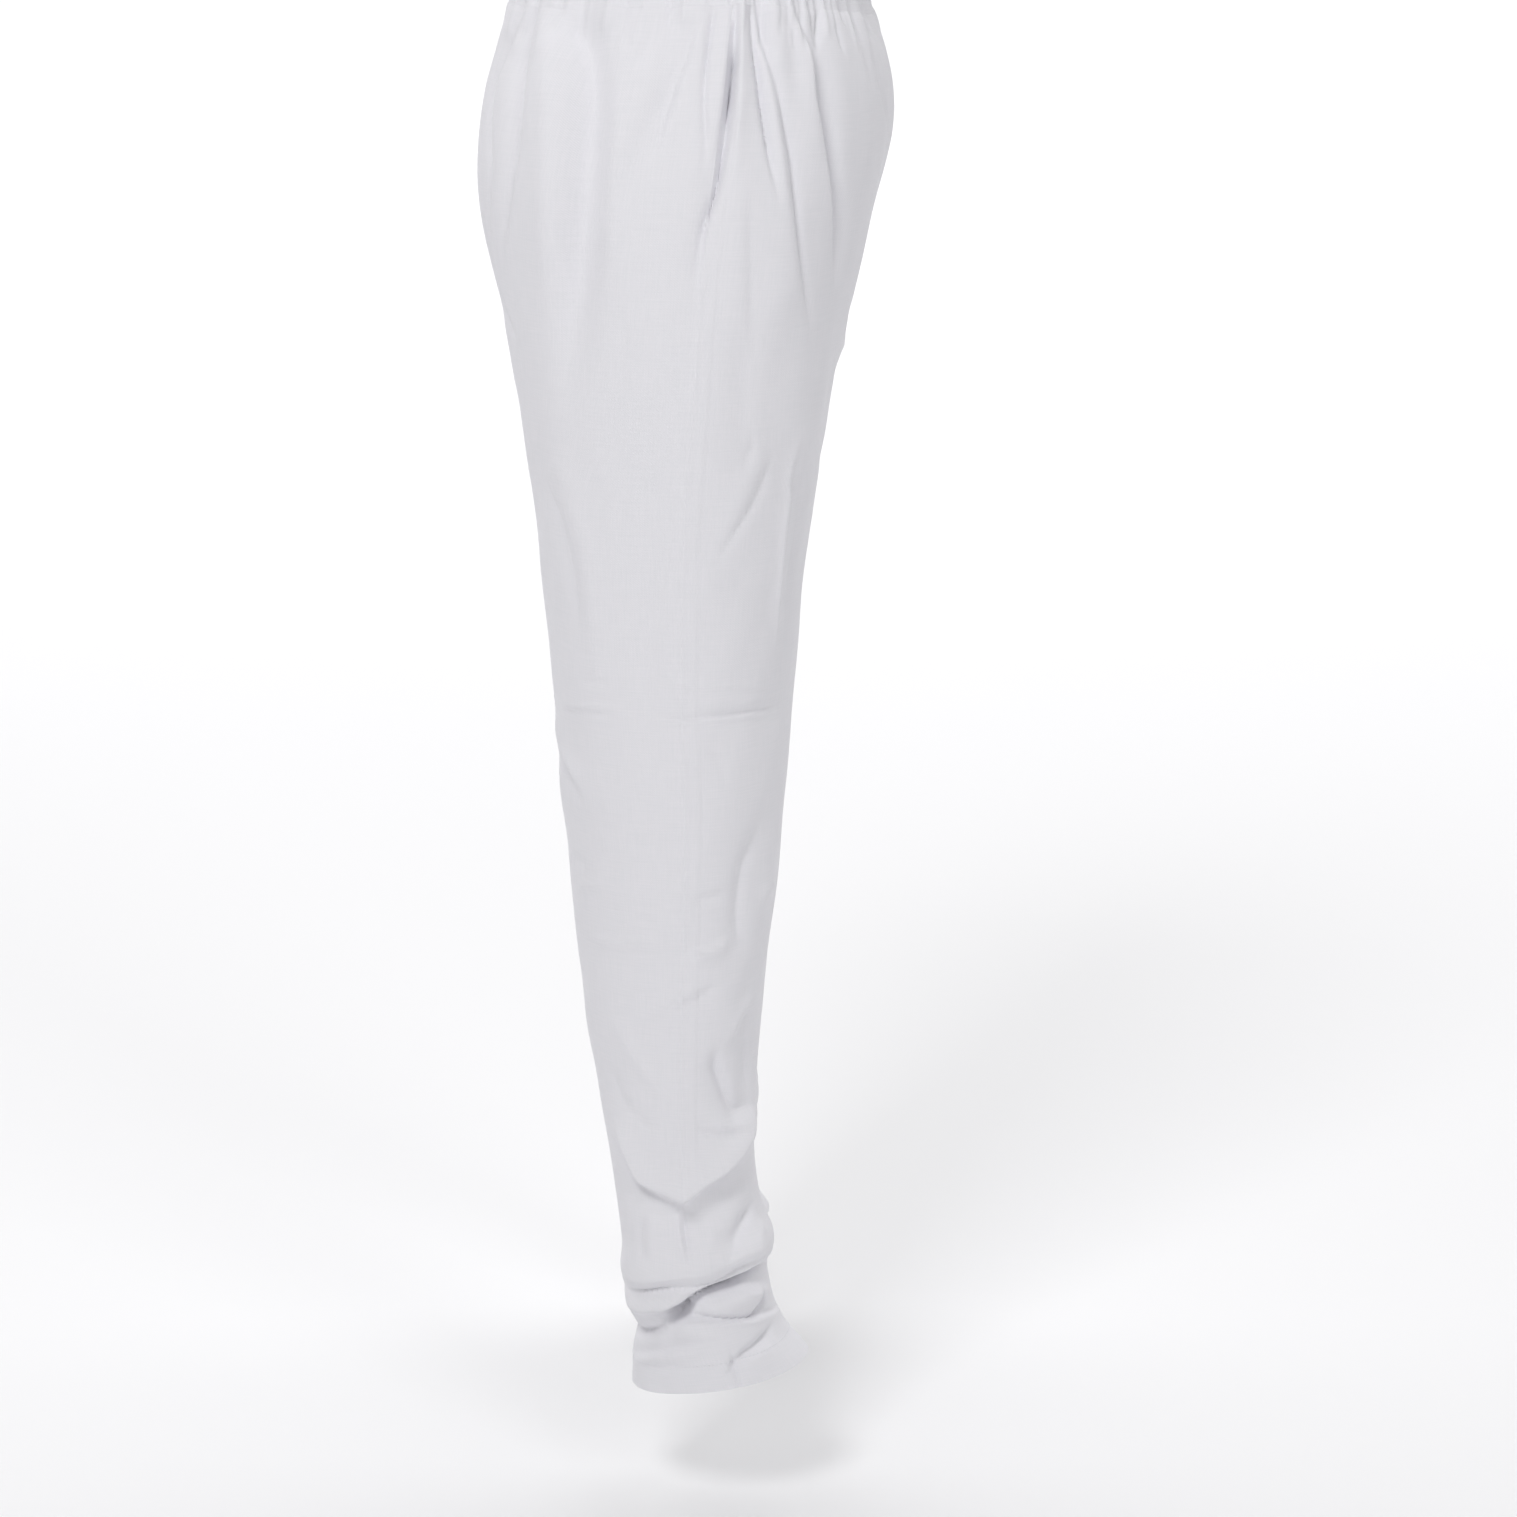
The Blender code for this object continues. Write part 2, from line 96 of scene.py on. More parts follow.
# One row for each level below the waist seam: furthest reach of the cloth in Y, front and back, each with
# how far it lies from the centre plane; the side seam's Y; a leg's outer and inner reach; the Y of the
# centre seams
Section = namedtuple("Section", "drop front front_x back back_x side outer inner seam_front seam_back")
SECTIONS = [Section(*(size / THOUSANDTHS for size in row)) for row in (
    (0, -127, 16, 131, 50, -28, 160, 0, -127, 130),
    (30, -138, 20, 139, 56, -25, 173, 0, -138, 138),
    (60, -143, 26, 148, 62, -22, 184, 0, -143, 146),
    (90, -142, 34, 153, 68, -18, 192, 0, -142, 150),
    (120, -137, 44, 154, 74, -14, 198, 0, -137, 149),
    (160, -127, 60, 150, 80, -10, 203, 0, -127, 143),
    (200, -117, 74, 142, 86, -6, 205, 0, -115, 131),
    (240, -107, 86, 134, 91, -3, 206, 0, -100, 114),
    (280, -99, 95, 127, 96, 0, 206, 0, -76, 89),
    (320, -92, 100, 121, 100, 3, 206, 0, -36, 52),
    (345, -88, 103, 117, 103, 5, 206, 0, 12, 12),
    (400, -80, 108, 111, 108, 7, 205, 8, 14, 14),
    (480, -72, 115, 104, 115, 8, 204, 24, 15, 15),
    (560, -66, 123, 98, 123, 6, 204, 40, 16, 16),
    (640, -59, 130, 90, 130, 7, 202, 56, 16, 16),
    (720, -49, 139, 81, 139, 9, 202, 74, 15, 15),
    (790, -44, 147, 70, 147, 10, 203, 90, 13, 13),
    (850, -44.5, 154, 60, 154, 8, 205, 102, 8, 8),
    (895, -50.5, 158, 54, 158, 4, 209, 108, 3, 3),
    (935, -54, 163, 50, 163, -2, 213, 112, -3, -3),
    (965, -62, 166, 47, 166, -12, 218, 114, -10, -10),
    (1000, -85, 168, 47, 168, -26, 222, 115, -18, -18),
)]

# What differs between the two legs: how far the front is drawn back over the instep, and the hem's slant
Leg = namedtuple("Leg", "name side instep_back hem_fall")
LEGS = (Leg("right", -1, 0.0, 0.183), Leg("left", 1, 0.028, 0.03))

# Every fold is given by turn, the way round a leg from the centre front (0) by the side seam (500) to the
# centre back (1000), and by drop, the way down from the waist seam. The gathers are ridges that lean and
# fade below the seam: turn, lean, length and height.
GATHER_WIDTH = 7.5
GATHER_FOOT_WIDTH = 11.3
GATHERS = (
    (56, 0, 30, 2), (125, -8, 42, 2.8), (208, -20, 50, 3), (292, -20, 34, 2.2), (375, -20, 55, 3.4),
    (431, -22, 46, 3.2), (486, -8, 85, 4.4), (542, 20, 60, 3.6), (611, 10, 30, 2.2), (667, 6, 24, 1.8),
    (736, -10, 44, 3), (806, 12, 36, 3.4), (861, 0, 50, 3.2), (931, 4, 34, 2.4),
)

# The large folds, which the solids have too, each a line through its points: height is the rise above
# the cloth, below zero for a hollow, and width how far from the line the fold fades
FoldPoint = namedtuple("FoldPoint", "turn drop height width")
FOLDS = (
    # Pleats that fan out below the waist at the side
    ((494, 20, -2.5, 7), (497, 100, -4.5, 9), (512, 220, 0, 16)),
    ((474, 60, 2, 11), (462, 200, 1, 18)),
    ((462, 6, -3, 7), (446, 51, -4, 9), (380, 160, -0.5, 15)),
    ((430, 40, 2, 10), (370, 190, 2, 20)),
    ((405, 12, -2.5, 8), (388, 88, -3, 11), (318, 230, -1, 20)),
    ((345, 10, -2.5, 10), (330, 104, -3.5, 14), (255, 225, -1, 22)),
    ((570, 4, -3, 8), (575, 65, -3, 12), (612, 160, 0, 20)),
    # Soft folds over the seat
    ((740, 30, 2.5, 14), (695, 132, 3, 20), (686, 280, 1, 26)),
    ((684, 16, -2.5, 14), (640, 131, -3, 22), (652, 260, -0.5, 26)),
    ((775, 10, -3, 9), (759, 110, -2.5, 12), (778, 170, 0, 14)),
    ((840, 30, -2.5, 10), (806, 130, -0.5, 14)),
    ((830, 215, -2.5, 12), (767, 240, -0.5, 12)),
    # Drag lines that run out of the fork, front and back
    ((30, 250, -2, 10), (180, 190, 0, 16)),
    ((30, 290, 3, 12), (200, 225, 0.5, 18)),
    ((40, 330, -3, 11), (210, 275, -0.5, 18)),
    ((60, 380, 2, 14), (210, 330, 0, 20)),
    ((970, 285, 3, 13), (840, 270, 1, 18)),
    ((960, 330, -3, 12), (830, 305, -0.5, 20)),
    ((950, 385, 2.5, 15), (830, 345, 0, 22)),
    # Thigh, knee and calf
    ((313, 302, 2.2, 12), (374, 410, 0.4, 16)),
    ((660, 330, 1.2, 20), (642, 480, 1.4, 22)),
    ((495, 495, -1.2, 12), (345, 497, -1.4, 12)),
    ((720, 520, 2.2, 13), (640, 560, 0.6, 14)),
    ((860, 500, 2, 14), (740, 540, -1, 14)),
    ((369, 580, -1.8, 14), (405, 660, -0.8, 16)),
    ((369, 712, -2, 11), (345, 785, -3, 12)),
    # The large slack fold above the ankle, a roll over a hollow, and its turn towards the heel
    ((250, 800, 0.4, 10), (345, 803, 2.8, 10)),
    ((292, 808, 1.2, 10), (380, 820, 4.5, 11), (490, 848, 4.5, 11)),
    ((506, 846, 4, 11), (602, 836, 3.5, 11), (650, 806, 1, 12)),
    ((325, 838, -2.2, 10), (395, 852, -3.5, 11), (490, 876, -3, 12)),
    ((530, 872, -2.2, 12), (625, 858, -2.2, 12)),
    # Rolls of cloth pushed up round the ankle
    ((350, 897, 4, 10), (444, 898, 4, 10), (600, 908, 3.4, 11), (760, 918, 3, 11)),
    ((240, 918, -0.8, 9), (400, 918, -5, 9), (500, 924, -3.6, 9)),
    ((500, 936, -4, 9), (575, 938, -3, 9)),
    ((535, 922, 3, 9), (740, 941, 2.2, 10)),
    ((460, 935, 3.4, 9), (300, 936, 2.4, 9)),
    ((580, 950, -3.6, 9), (760, 959, -2.4, 9)),
    ((560, 953, 2.4, 9), (420, 957, 2.8, 9), (240, 964, 0.8, 10)),
    ((780, 930, 3, 12), (960, 915, 3, 12)),
    ((760, 955, -3, 10), (950, 945, -2.6, 12)),
    ((40, 925, -3, 10), (200, 920, -2, 10)),
)
# The roll over the instep, which stands higher on the right leg
INSTEP_ROLLS = {
    "right": ((60, 896, 3, 16), (200, 898, 6, 16), (340, 898, 4.8, 16)),
    "left": ((60, 896, 1.5, 16), (200, 898, 3, 16), (340, 898, 2.4, 16)),
}

# Creases placed along a route of turns and drops. rise is the height at the middle, below zero
# for a trough; crisp is 2 for a soft crest and towards 1 for a pressed one; skew steepens the side that
# lies to the right of the route when above zero; ends are the shares of the rise left at both ends;
# hang is the share of the rise by which a crest also sags down over the cloth below it
Crease = namedtuple("Crease", "route rise width crisp skew ends hang", defaults=(1.6, 0.0, (0.0, 0.0), 0.0))
WAIST_CREASES = (
    # The deep pleat along the side seam, black where it gapes, and the narrow pleats beside it
    (((492, 4), (490.5, 26), (490.5, 50), (491.5, 69), (490.5, 87), (492.5, 117), (499, 135), (506, 155),
     (509, 200)), -7.8, 2.4, 1.3, 0.2, (0.45, 0)),
    (((490.5, 24), (491, 50), (491.5, 78)), -5.4, 2.2, 1.4),
    (((504, 2), (503, 30), (503, 70), (505, 120)), 3.6, 3.4, 1.5, 0.35, (0.8, 0)),
    (((524.5, 2), (525, 36), (522.5, 62), (514, 90), (512, 120)), -3.6, 2.2, 1.4, 0, (0.8, 0)),
    (((532, 2), (545, 15), (550, 33), (561, 55), (568, 82), (576, 109)), -3.4, 3, 1.4, 0.3, (0.9, 0)),
    (((482, 2), (480, 30), (477, 70), (470, 120)), 3.4, 3.4, 1.6, -0.3, (0.8, 0)),
    (((470, 4), (464, 25), (453, 47), (445, 66), (435, 84), (422, 107), (401, 140)),
     -6, 2.6, 1.3, -0.2, (0.7, 0)),
    # Pleats that fan forwards from the same gather, each a soft ridge with a steeper front side
    (((460, 4), (450, 29), (434, 57), (422, 78), (410, 100), (396, 131), (376, 170)),
     3.4, 6, 1.6, 0.45, (0.8, 0)),
    (((458, 4), (441, 29), (421, 57), (408, 78), (394, 100), (380, 131), (362, 170), (344, 200), (322, 226),
     (296, 247)), -4.4, 3.4, 1.4, -0.3, (0.8, 0)),
    (((425, 6), (408, 40), (386, 76), (368, 110)), 1.6, 8, 1.8, 0, (0.8, 0)),
    # The front-most edge, with cloth that lies deeper in front of it
    (((398, 2), (380, 22), (371, 36), (364, 61), (347, 86), (320, 127), (303, 155), (292, 185)),
     4.6, 8, 1.6, 0.5, (0.6, 0)),
    (((388, 4), (368, 22), (358, 36), (351, 61), (333, 86), (305, 127), (288, 155), (278, 185), (262, 212)),
     -5.6, 4.2, 1.4, -0.4, (0.6, 0)),
    (((334, 2), (339, 13), (348, 27)), -3.4, 2.6, 1.4, 0, (1, 0.3)),
    (((405, 2), (400, 14), (394, 30)), -2.2, 2.8, 1.4, 0, (1, 0)),
    (((300, 2), (296, 16), (290, 34)), -2.4, 3, 1.4, 0, (1, 0)),
    (((452, 112), (440, 165), (430, 210), (419, 250)), -1.4, 6, 1.6, -0.4),
    # The swag behind the side seam
    (((545, 2), (558, 30), (574, 62), (594, 100), (612, 150)), -2, 6, 1.5, 0.3, (0.9, 0)),
    (((560, 2), (576, 36), (598, 74), (630, 150)), 1.4, 9, 1.8, 0, (1, 0)),
    (((600, 2), (604, 20), (612, 46)), -2, 4, 1.5, 0, (1, 0)),
    (((640, 2), (636, 16), (630, 30)), -1.8, 3.4, 1.5, 0, (1, 0)),
    # The seat
    (((795, 2), (803, 14), (807, 28)), -2.6, 3.4, 1.5, 0, (1, 0)),
    (((822, 4), (842, 50), (822, 92), (805, 120), (815, 160), (822, 210)), -3.8, 3.6, 1.3, 0, (0.8, 0)),
    (((790, 4), (786, 32), (762, 75), (759, 125), (778, 175), (800, 215)), -3.8, 3.6, 1.3, 0.3, (1, 0)),
    (((770, 10), (755, 50), (735, 100)), 2.2, 6, 1.7, 0, (1, 0)),
    (((785, 6), (752, 23), (725, 48), (704, 77), (690, 118), (688, 160), (692, 230)),
     5.4, 13.5, 1.9, 0, (0.4, 0)),
    (((739, 2), (715, 16), (689, 29), (672, 47), (663, 63), (655, 98), (654, 134), (658, 200), (668, 290)),
     -10.4, 13, 1.7, -0.3, (0.9, 0)),
    (((640, 45), (622, 80), (612, 140), (615, 210)), 3, 9, 1.8, 0, (0.3, 0)),
    # Hidden sides
    (((195, 10), (185, 45), (150, 80), (110, 100)), -1.8, 3.6, 1.4, 0, (0.6, 0)),
    (((230, 4), (226, 30), (212, 70)), -1.8, 4, 1.5, 0, (1, 0)),
    (((90, 2), (86, 30), (70, 75)), -1.8, 4.4, 1.6, 0, (1, 0)),
    (((905, 2), (900, 40), (880, 90)), -2, 4.4, 1.6, 0, (1, 0)),
    (((960, 2), (958, 30), (950, 70)), -1.8, 4, 1.6, 0, (1, 0)),
)
LEG_CREASES = (
    # Seat and thigh, with the long soft band behind the side seam
    (((832, 214), (800, 225), (764, 240)), -3, 3.8, 1.4),
    (((715, 315), (664, 346), (645, 372), (634, 408), (635, 460)), -2.6, 6, 1.4, 0.3),
    (((690, 300), (640, 340), (618, 372), (610, 420), (612, 500)), 2.6, 11, 1.8),
    (((550, 260), (540, 330), (541, 438), (540, 500), (556, 580)), -2.4, 12, 1.8),
    (((600, 195), (590, 230), (596, 270)), -1.2, 8),
    (((585, 300), (570, 345), (572, 400)), -0.8, 6),
    (((440, 215), (430, 270), (432, 330)), -1.4, 11, 1.8),
    (((372, 304), (415, 337), (448, 368), (474, 394)), -2.4, 2.7, 1.2, -0.3),
    (((392, 302), (432, 334), (466, 364)), 1.4, 6),
    (((408, 296), (430, 316)), -1.4, 3, 1.4),
    (((322, 290), (346, 316), (364, 340), (369, 372), (364, 420), (358, 475)), 3.4, 3.8, 1.3, 0.3),
    (((310, 302), (322, 322), (338, 350), (342, 400), (336, 460)), -2.2, 8),
    # Drag lines out of the fork
    (((10, 235), (70, 212), (150, 180)), -2.2, 4.6, 1.5, 0, (0.6, 0)),
    (((12, 275), (90, 245), (200, 215)), -2.8, 5, 1.5, 0, (0.8, 0)),
    (((12, 292), (90, 262), (190, 238)), 2, 5.6, 1.7, 0, (0.6, 0)),
    (((15, 312), (100, 280), (215, 262)), -3, 5.2, 1.5, 0, (0.8, 0)),
    (((20, 352), (110, 325), (200, 318)), -2.6, 5.4, 1.6, 0, (0.7, 0)),
    (((985, 262), (920, 246), (850, 232)), -2.2, 5, 1.5, 0, (0.6, 0)),
    (((985, 305), (910, 288), (815, 282)), -3, 5.6, 1.6, 0, (0.8, 0)),
    (((985, 325), (905, 306), (815, 300)), 2, 6, 1.7, 0, (0.6, 0)),
    (((980, 350), (900, 328), (800, 322)), -2.6, 6, 1.6, 0, (0.7, 0)),
    (((975, 405), (900, 378), (820, 372)), -2, 6, 1.6, 0, (0.5, 0)),
    # Knee
    (((548, 493.5), (500, 495.5), (455, 494), (407, 494), (336, 497), (296, 494)), -1.7, 1.6, 1.2, -0.3),
    (((548, 497.5), (500, 499), (455, 497.5), (407, 497.5), (336, 500.5)), 1.1, 1.7, 1.3),
    (((500, 486), (440, 485), (350, 488)), 0.8, 4.8),
    (((535, 458), (514, 465.5), (494, 470), (420, 474), (336, 483)), 0.8, 1.7, 1.3),
    (((575, 488.5), (629, 492), (705, 499)), 1, 2, 1.3, 0.3),
    (((580, 495.5), (632, 496.5), (700, 503.5)), -0.8, 2, 1.3),
    (((705, 531), (680, 541), (648, 553)), 2.8, 4.2, 1.5, -0.4),
    (((715, 545), (684, 554), (652, 567)), -2, 3.8),
    (((643, 475), (615, 472), (585, 469)), -1, 3),
    (((470, 520), (448, 530), (436, 545)), -1.2, 4),
    (((950, 488), (870, 502), (780, 514)), -2.4, 5.6, 1.5),
    (((950, 500), (870, 515), (785, 527)), 1.6, 6),
    (((930, 540), (850, 548), (760, 546)), -2, 5.6, 1.5),
    (((960, 590), (880, 582), (800, 590)), -1.6, 6),
    (((30, 520), (110, 509), (205, 516)), -1.8, 4.6, 1.5),
    (((60, 560), (140, 566), (220, 558)), -1.3, 5),
    # Calf and shin
    (((708, 608), (690, 611), (660, 610)), -1.6, 2.8),
    (((700, 632), (660, 626), (618, 621)), 1.4, 2.8),
    (((352, 572), (380, 590), (397, 604), (405, 624), (404, 646), (392, 666), (362, 680)), -4, 7.8, 1.6, 0.2),
    (((292, 634), (335, 632), (368, 641)), 2.2, 6.2),
    (((497, 629), (460, 627.5), (425, 624.5)), -1.9, 2.7),
    (((494, 621.5), (460, 620), (430, 617)), 1, 3.6),
    (((689, 665), (641, 664), (604, 663), (552, 662), (506, 661)), 2, 2.8, 1.3, 0.4),
    (((500, 671), (455, 667), (403, 657)), 3.6, 3.8, 1.4, 0.5),
    (((570, 712.5), (529, 708), (498, 699), (445, 687)), 2.6, 5, 1.6, 0.3),
    (((520, 710.5), (498, 706.5), (469, 701), (424, 692.5)), -2.4, 3, 1.4, -0.3),
    (((322, 706), (365, 717), (398, 732), (426, 746)), 3.2, 6, 1.6, 0.3),
    (((412, 738), (430, 750), (413, 766.5), (378, 790), (328, 792)), -5.6, 5.2, 1.6, 0.2, (0, 0.4)),
    (((352, 736), (334, 762), (322, 784)), -2.6, 7),
    (((440, 793), (404, 801), (373, 802), (328, 800)), 1.8, 3.6),
    (((470, 798.5), (435, 805), (406, 807.6), (378, 807.2), (345, 803)), -2.4, 3.2, 1.4),
    (((640, 718), (579, 755), (525, 773), (490, 785)), 2, 6.4),
    (((668, 755), (625, 785), (570, 800), (520, 806)), -1.6, 6.4),
    (((900, 700), (840, 730), (780, 770)), -1.8, 7),
    (((960, 770), (900, 785), (840, 790)), -1.8, 5.6, 1.5),
    (((80, 740), (140, 765), (230, 785)), -2, 6.6),
    (((60, 650), (130, 664), (210, 662)), -1.5, 4.6, 1.5),
)
ANKLE_CREASES = (
    # The large slack fold: a roll with a sharp lower edge, and its turn towards the heel
    (((292, 803.5), (315, 806), (347, 810.5), (375, 819), (404, 827), (438, 834), (471, 841.5), (500, 848)),
     6, 6, 1.7, 0.35, (0, 0.6), 0.7),
    (((292, 811), (315, 815), (347, 819.5), (375, 828), (404, 836), (438, 843), (471, 851), (502, 858)),
     -6.8, 4.4, 1.6, -0.4, (0.1, 0.35)),
    (((655, 796), (632, 814), (600, 836), (573, 841.5), (540, 845.5), (506, 848)),
     4.4, 6, 1.7, -0.4, (0, 0.6), 0.5),
    (((655, 811), (632, 828), (602, 846), (573, 851.2), (540, 855.2), (510, 858)),
     -3.4, 3.6, 1.5, 0.3, (0, 0.35)),
    (((503, 860), (507, 872), (504, 887), (497, 905)), -3, 2.6, 1.4, 0, (0.2, 0.1)),
    (((513, 862), (517, 874), (514, 888), (508, 902)), 2.4, 3.6),
    (((302, 864.5), (335, 872), (376, 883), (428, 902)), -5.6, 5, 1.6, 0.3, (0.1, 0.2)),
    (((280, 882), (325, 888), (362, 897)), 2.2, 5.6, 1.7),
    (((420, 872), (447, 882), (466, 900)), 2, 7, 1.8),
    (((605, 866), (622, 886), (620, 906)), -2.2, 4.4, 1.5),
    (((580, 866), (592, 886), (590, 904)), 1.4, 6, 1.7),
    # First roll over the ankle and the line below it
    (((740, 923.5), (697, 922), (620, 916), (543, 908.5), (444, 903), (371, 896.5), (300, 899), (245, 908)),
     3.6, 5.2, 1.7, -0.3, (0.1, 0.1), 0.7),
    (((760, 932), (697, 930), (620, 924), (543, 917), (444, 911), (371, 904.5), (300, 906.8), (250, 915)),
     -4.4, 2.1, 1.4, 0, (0.2, 0.3)),
    # Second roll, wide at the heel and narrow in front, whose lip hangs over a slit and a hollow
    (((750, 943), (700, 941), (640, 937), (585, 931), (540, 922.5), (490, 915), (440, 911.5), (380, 908.5),
     (330, 907), (260, 912)), 4.4, 4.6, 1.8, -0.2, (0.1, 0.2), 0.8),
    (((530, 931), (492, 925), (448, 921.2), (396, 918.5), (345, 915), (295, 914.5), (262, 918)),
     -12.8, 2.5, 1.5, 0, (0.4, 0.1)),
    (((592, 942), (562, 938.5), (530, 933), (502, 927.5)), -17, 4.6, 2, 0, (0.2, 0.2)),
    (((605, 934), (565, 929), (528, 923), (495, 918)), 2.8, 3.6, 1.7, 0, (0.2, 0.2), 1),
    (((745, 959), (700, 958), (650, 954), (605, 948.5)), -6.6, 3.2, 1.6, 0, (0.3, 0.5)),
    (((720, 933), (660, 931), (600, 926.5)), -1.6, 3.2, 1.5),
    # The puffed fold over the front, with a short leaf-shaped hollow
    (((480, 931), (440, 932), (390, 931.5), (330, 932), (285, 935)), 3.2, 7.2, 2, 0, (0.1, 0.1)),
    (((316, 933), (326, 941), (350, 946.2), (386, 948.5)), -6.2, 2.5, 1.6, 0, (0.2, 0.2)),
    (((404, 927), (372, 930), (345, 935), (346, 940.5)), 2, 3, 1.7),
    # The top edge of the hem band, which stands in front of the cloth above it
    (((585, 940), (545, 939.5), (504, 940), (461, 942.5), (401, 947), (340, 950), (262, 956)),
     -3.4, 1.8, 1.5, 0, (0.1, 0.2)),
    (((610, 946), (560, 944), (525, 943.6), (461, 946.4), (401, 950.7), (340, 953.8), (262, 959.2)),
     3.4, 2.4, 1.6, 0.4, (0.1, 0.2)),
    # The hem band's own creases
    (((740, 974.5), (691, 971.1), (604, 963.5), (540, 959.5), (477, 959.5), (430, 961.5)),
     -4.2, 3.8, 1.5, -0.3, (0.1, 0.1)),
    (((740, 981.5), (660, 973.5), (590, 967.5), (530, 965), (490, 965.5)), 2, 4.6, 1.7, 0, (0.1, 0.1)),
    (((700, 980), (620, 977), (540, 975)), -1.6, 3.2, 1.5),
    (((474, 980), (443, 973.5), (401, 969), (349, 964), (310, 961)), -5.4, 3.4, 1.5, 0.4, (0.6, 0)),
    (((450, 986), (410, 980), (360, 974.5)), 1.6, 5.2, 1.7),
    (((461, 969.1), (469, 981), (480, 996.5)), -2.4, 2.4, 1.4, 0, (0.3, 0.8)),
    # Hidden side of the ankle
    (((1000, 926), (940, 922), (860, 921), (780, 924.5)), 3, 5.2, 1.7, -0.3, (0.15, 0), 0.6),
    (((1000, 936), (940, 932), (860, 931), (780, 933.5)), -3.4, 2.6, 1.4, 0, (0.15, 0)),
    (((1000, 947), (940, 945), (860, 946), (780, 947)), 3.6, 5, 1.7, -0.3, (0.15, 0), 0.6),
    (((1000, 958), (940, 958), (860, 960), (780, 960)), -4, 3.2, 1.5, 0, (0.15, 0)),
    (((0, 910), (70, 906), (150, 905), (225, 907)), 3.2, 5.2, 1.7, -0.3, (0.15, 0), 0.6),
    (((0, 921), (70, 918), (150, 917), (225, 918)), -5, 3, 1.5, 0, (0.15, 0)),
    (((0, 934), (80, 935), (160, 938), (230, 940)), 3, 5.6, 1.8, 0, (0.15, 0)),
    (((0, 946), (80, 950), (160, 953), (230, 955)), -3.4, 2.6, 1.5, 0, (0.15, 0)),
    (((0, 834), (80, 820), (160, 810), (230, 806)), 3.4, 6.4, 1.7, 0.3, (0.15, 0), 0.5),
    (((0, 846), (80, 832), (160, 821), (230, 815)), -3, 4, 1.5, -0.3, (0.15, 0)),
    (((1000, 842), (920, 846), (840, 832), (770, 808)), 3, 6.4, 1.7, -0.3, (0.15, 0), 0.5),
    (((1000, 854), (920, 858), (840, 844), (770, 818)), -2.8, 4, 1.5, 0.3, (0.15, 0)),
    (((60, 880), (120, 872), (200, 870)), -2.6, 5),
    (((930, 884), (860, 892), (790, 890)), -2.2, 5),
    (((900, 975), (850, 982), (780, 985)), -1.6, 3.6, 1.5),
    (((50, 972), (130, 978), (230, 974)), -1.8, 4, 1.5),
)
ROUTE_STEPS = 6
CREASE_REACH = 3.2
SWELL_IN = 0.3
SWELL_OUT = 0.4

# The left leg's creases are the right leg's, moved and weakened by chance. Those at the waist seam and in
# the ankle's rolls keep their level, which the large folds set.
LEFT_SEED = 7
LEFT_TURN_SHIFT = 0.012
LEFT_DROP_SHIFT = 0.010
LEFT_LOOSE = (0.02, 0.80)
LEFT_RISE = (0.7, 1.0)

# Small puckers where the cloth is drawn in at the waist seam, two sunk for each raised one
PUCKER_SEED = 7
PUCKER_GIRTH = 0.47
PUCKER_PITCH = 0.0105
PUCKER_SPACING = (0.6, 1.5)
PUCKER_SIGNS = (-1, -1, 1)
PUCKER_LEAN = 0.008
PUCKER_CRISP = 1.5
PUCKER_WIDTH = 0.0026
PUCKER_RISE = (0.0010, 0.0026)
PUCKER_LENGTH = (0.010, 0.034)

# The slow unevenness of cloth that hangs free, as sine waves of these lengths round and down the leg
DRIFT_SEED = 11
DRIFT_WAVES = 9
DRIFT_LENGTH = (0.045, 0.150)
DRIFT_STRETCH = (1.6, 0.7)
DRIFT_RISE = 0.00022

# Sewing: the cloth sinks into the waist seam, the side seam is a ridge with its allowance pressed forwards,
# both lost in the ankle's rolls, and the inseam holds the cloth flat below the fork
WAIST_SINK = 0.0009
WAIST_SINK_DROP = 0.0022
SEAM_RIDGE = 0.0006
SEAM_RIDGE_WIDTH = 0.0016
SEAM_LAP = 0.0005
SEAM_LAP_WIDTH = 0.012
SEAM_LAP_EDGE = 0.002
SEAM_FADE_DROP = 0.870
SEAM_FADE_REACH = 0.020
INSEAM_HOLD = 0.014
INSEAM_HOLD_START = 0.030
RIM_ANGLE = math.radians(75)

# A stitch of the hem, and its rings of thread: place along it in lengths, lift and girth in thicknesses
STITCH_PITCH = 0.0030
STITCH_LENGTH = 0.0023
STITCH_THICK = 0.00032
STITCH_SIDES = 6
STITCH_RINGS = ((-0.5, -0.9, 0.35), (-0.3, 0.2, 0.9), (0.0, 0.45, 1.0), (0.3, 0.2, 0.9), (0.5, -0.9, 0.35))

# Cloth and thread as they look: drawn width of a thread, length of a slub in threads, how much slubs stand
# out of the weave, the span of both slubs' sum that goes from shade to light, and the ply of sewing thread
THREAD_WIDTH = 0.0008
SLUB_THREADS = 30
SLUB_RELIEF = 0.6
SLUB_SPAN = (0.7, 1.3)
PLY_PITCH = 0.0004

# The studio: light of the pale room, and each soft light's place, target, size and power
CAMERA_REACH = 200.0
ROOM_COLOUR = (1.0, 0.99, 1.0, 1.0)
ROOM_STRENGTH = 0.32
SOFT_LIGHTS = {
    "ceiling_panel": ((8.5, 0.0, 5.0), (8.5, 0.0, 0.0), 16.0, 1150.0),
    "soft_box_near": ((-2.2, 0.8, 1.8), (0.0, 0.0, -0.1), 0.9, 38.0),
    "soft_box_front": ((-4.2, -2.6, 2.2), (0.0, 0.0, -0.4), 1.6, 34.0),
}


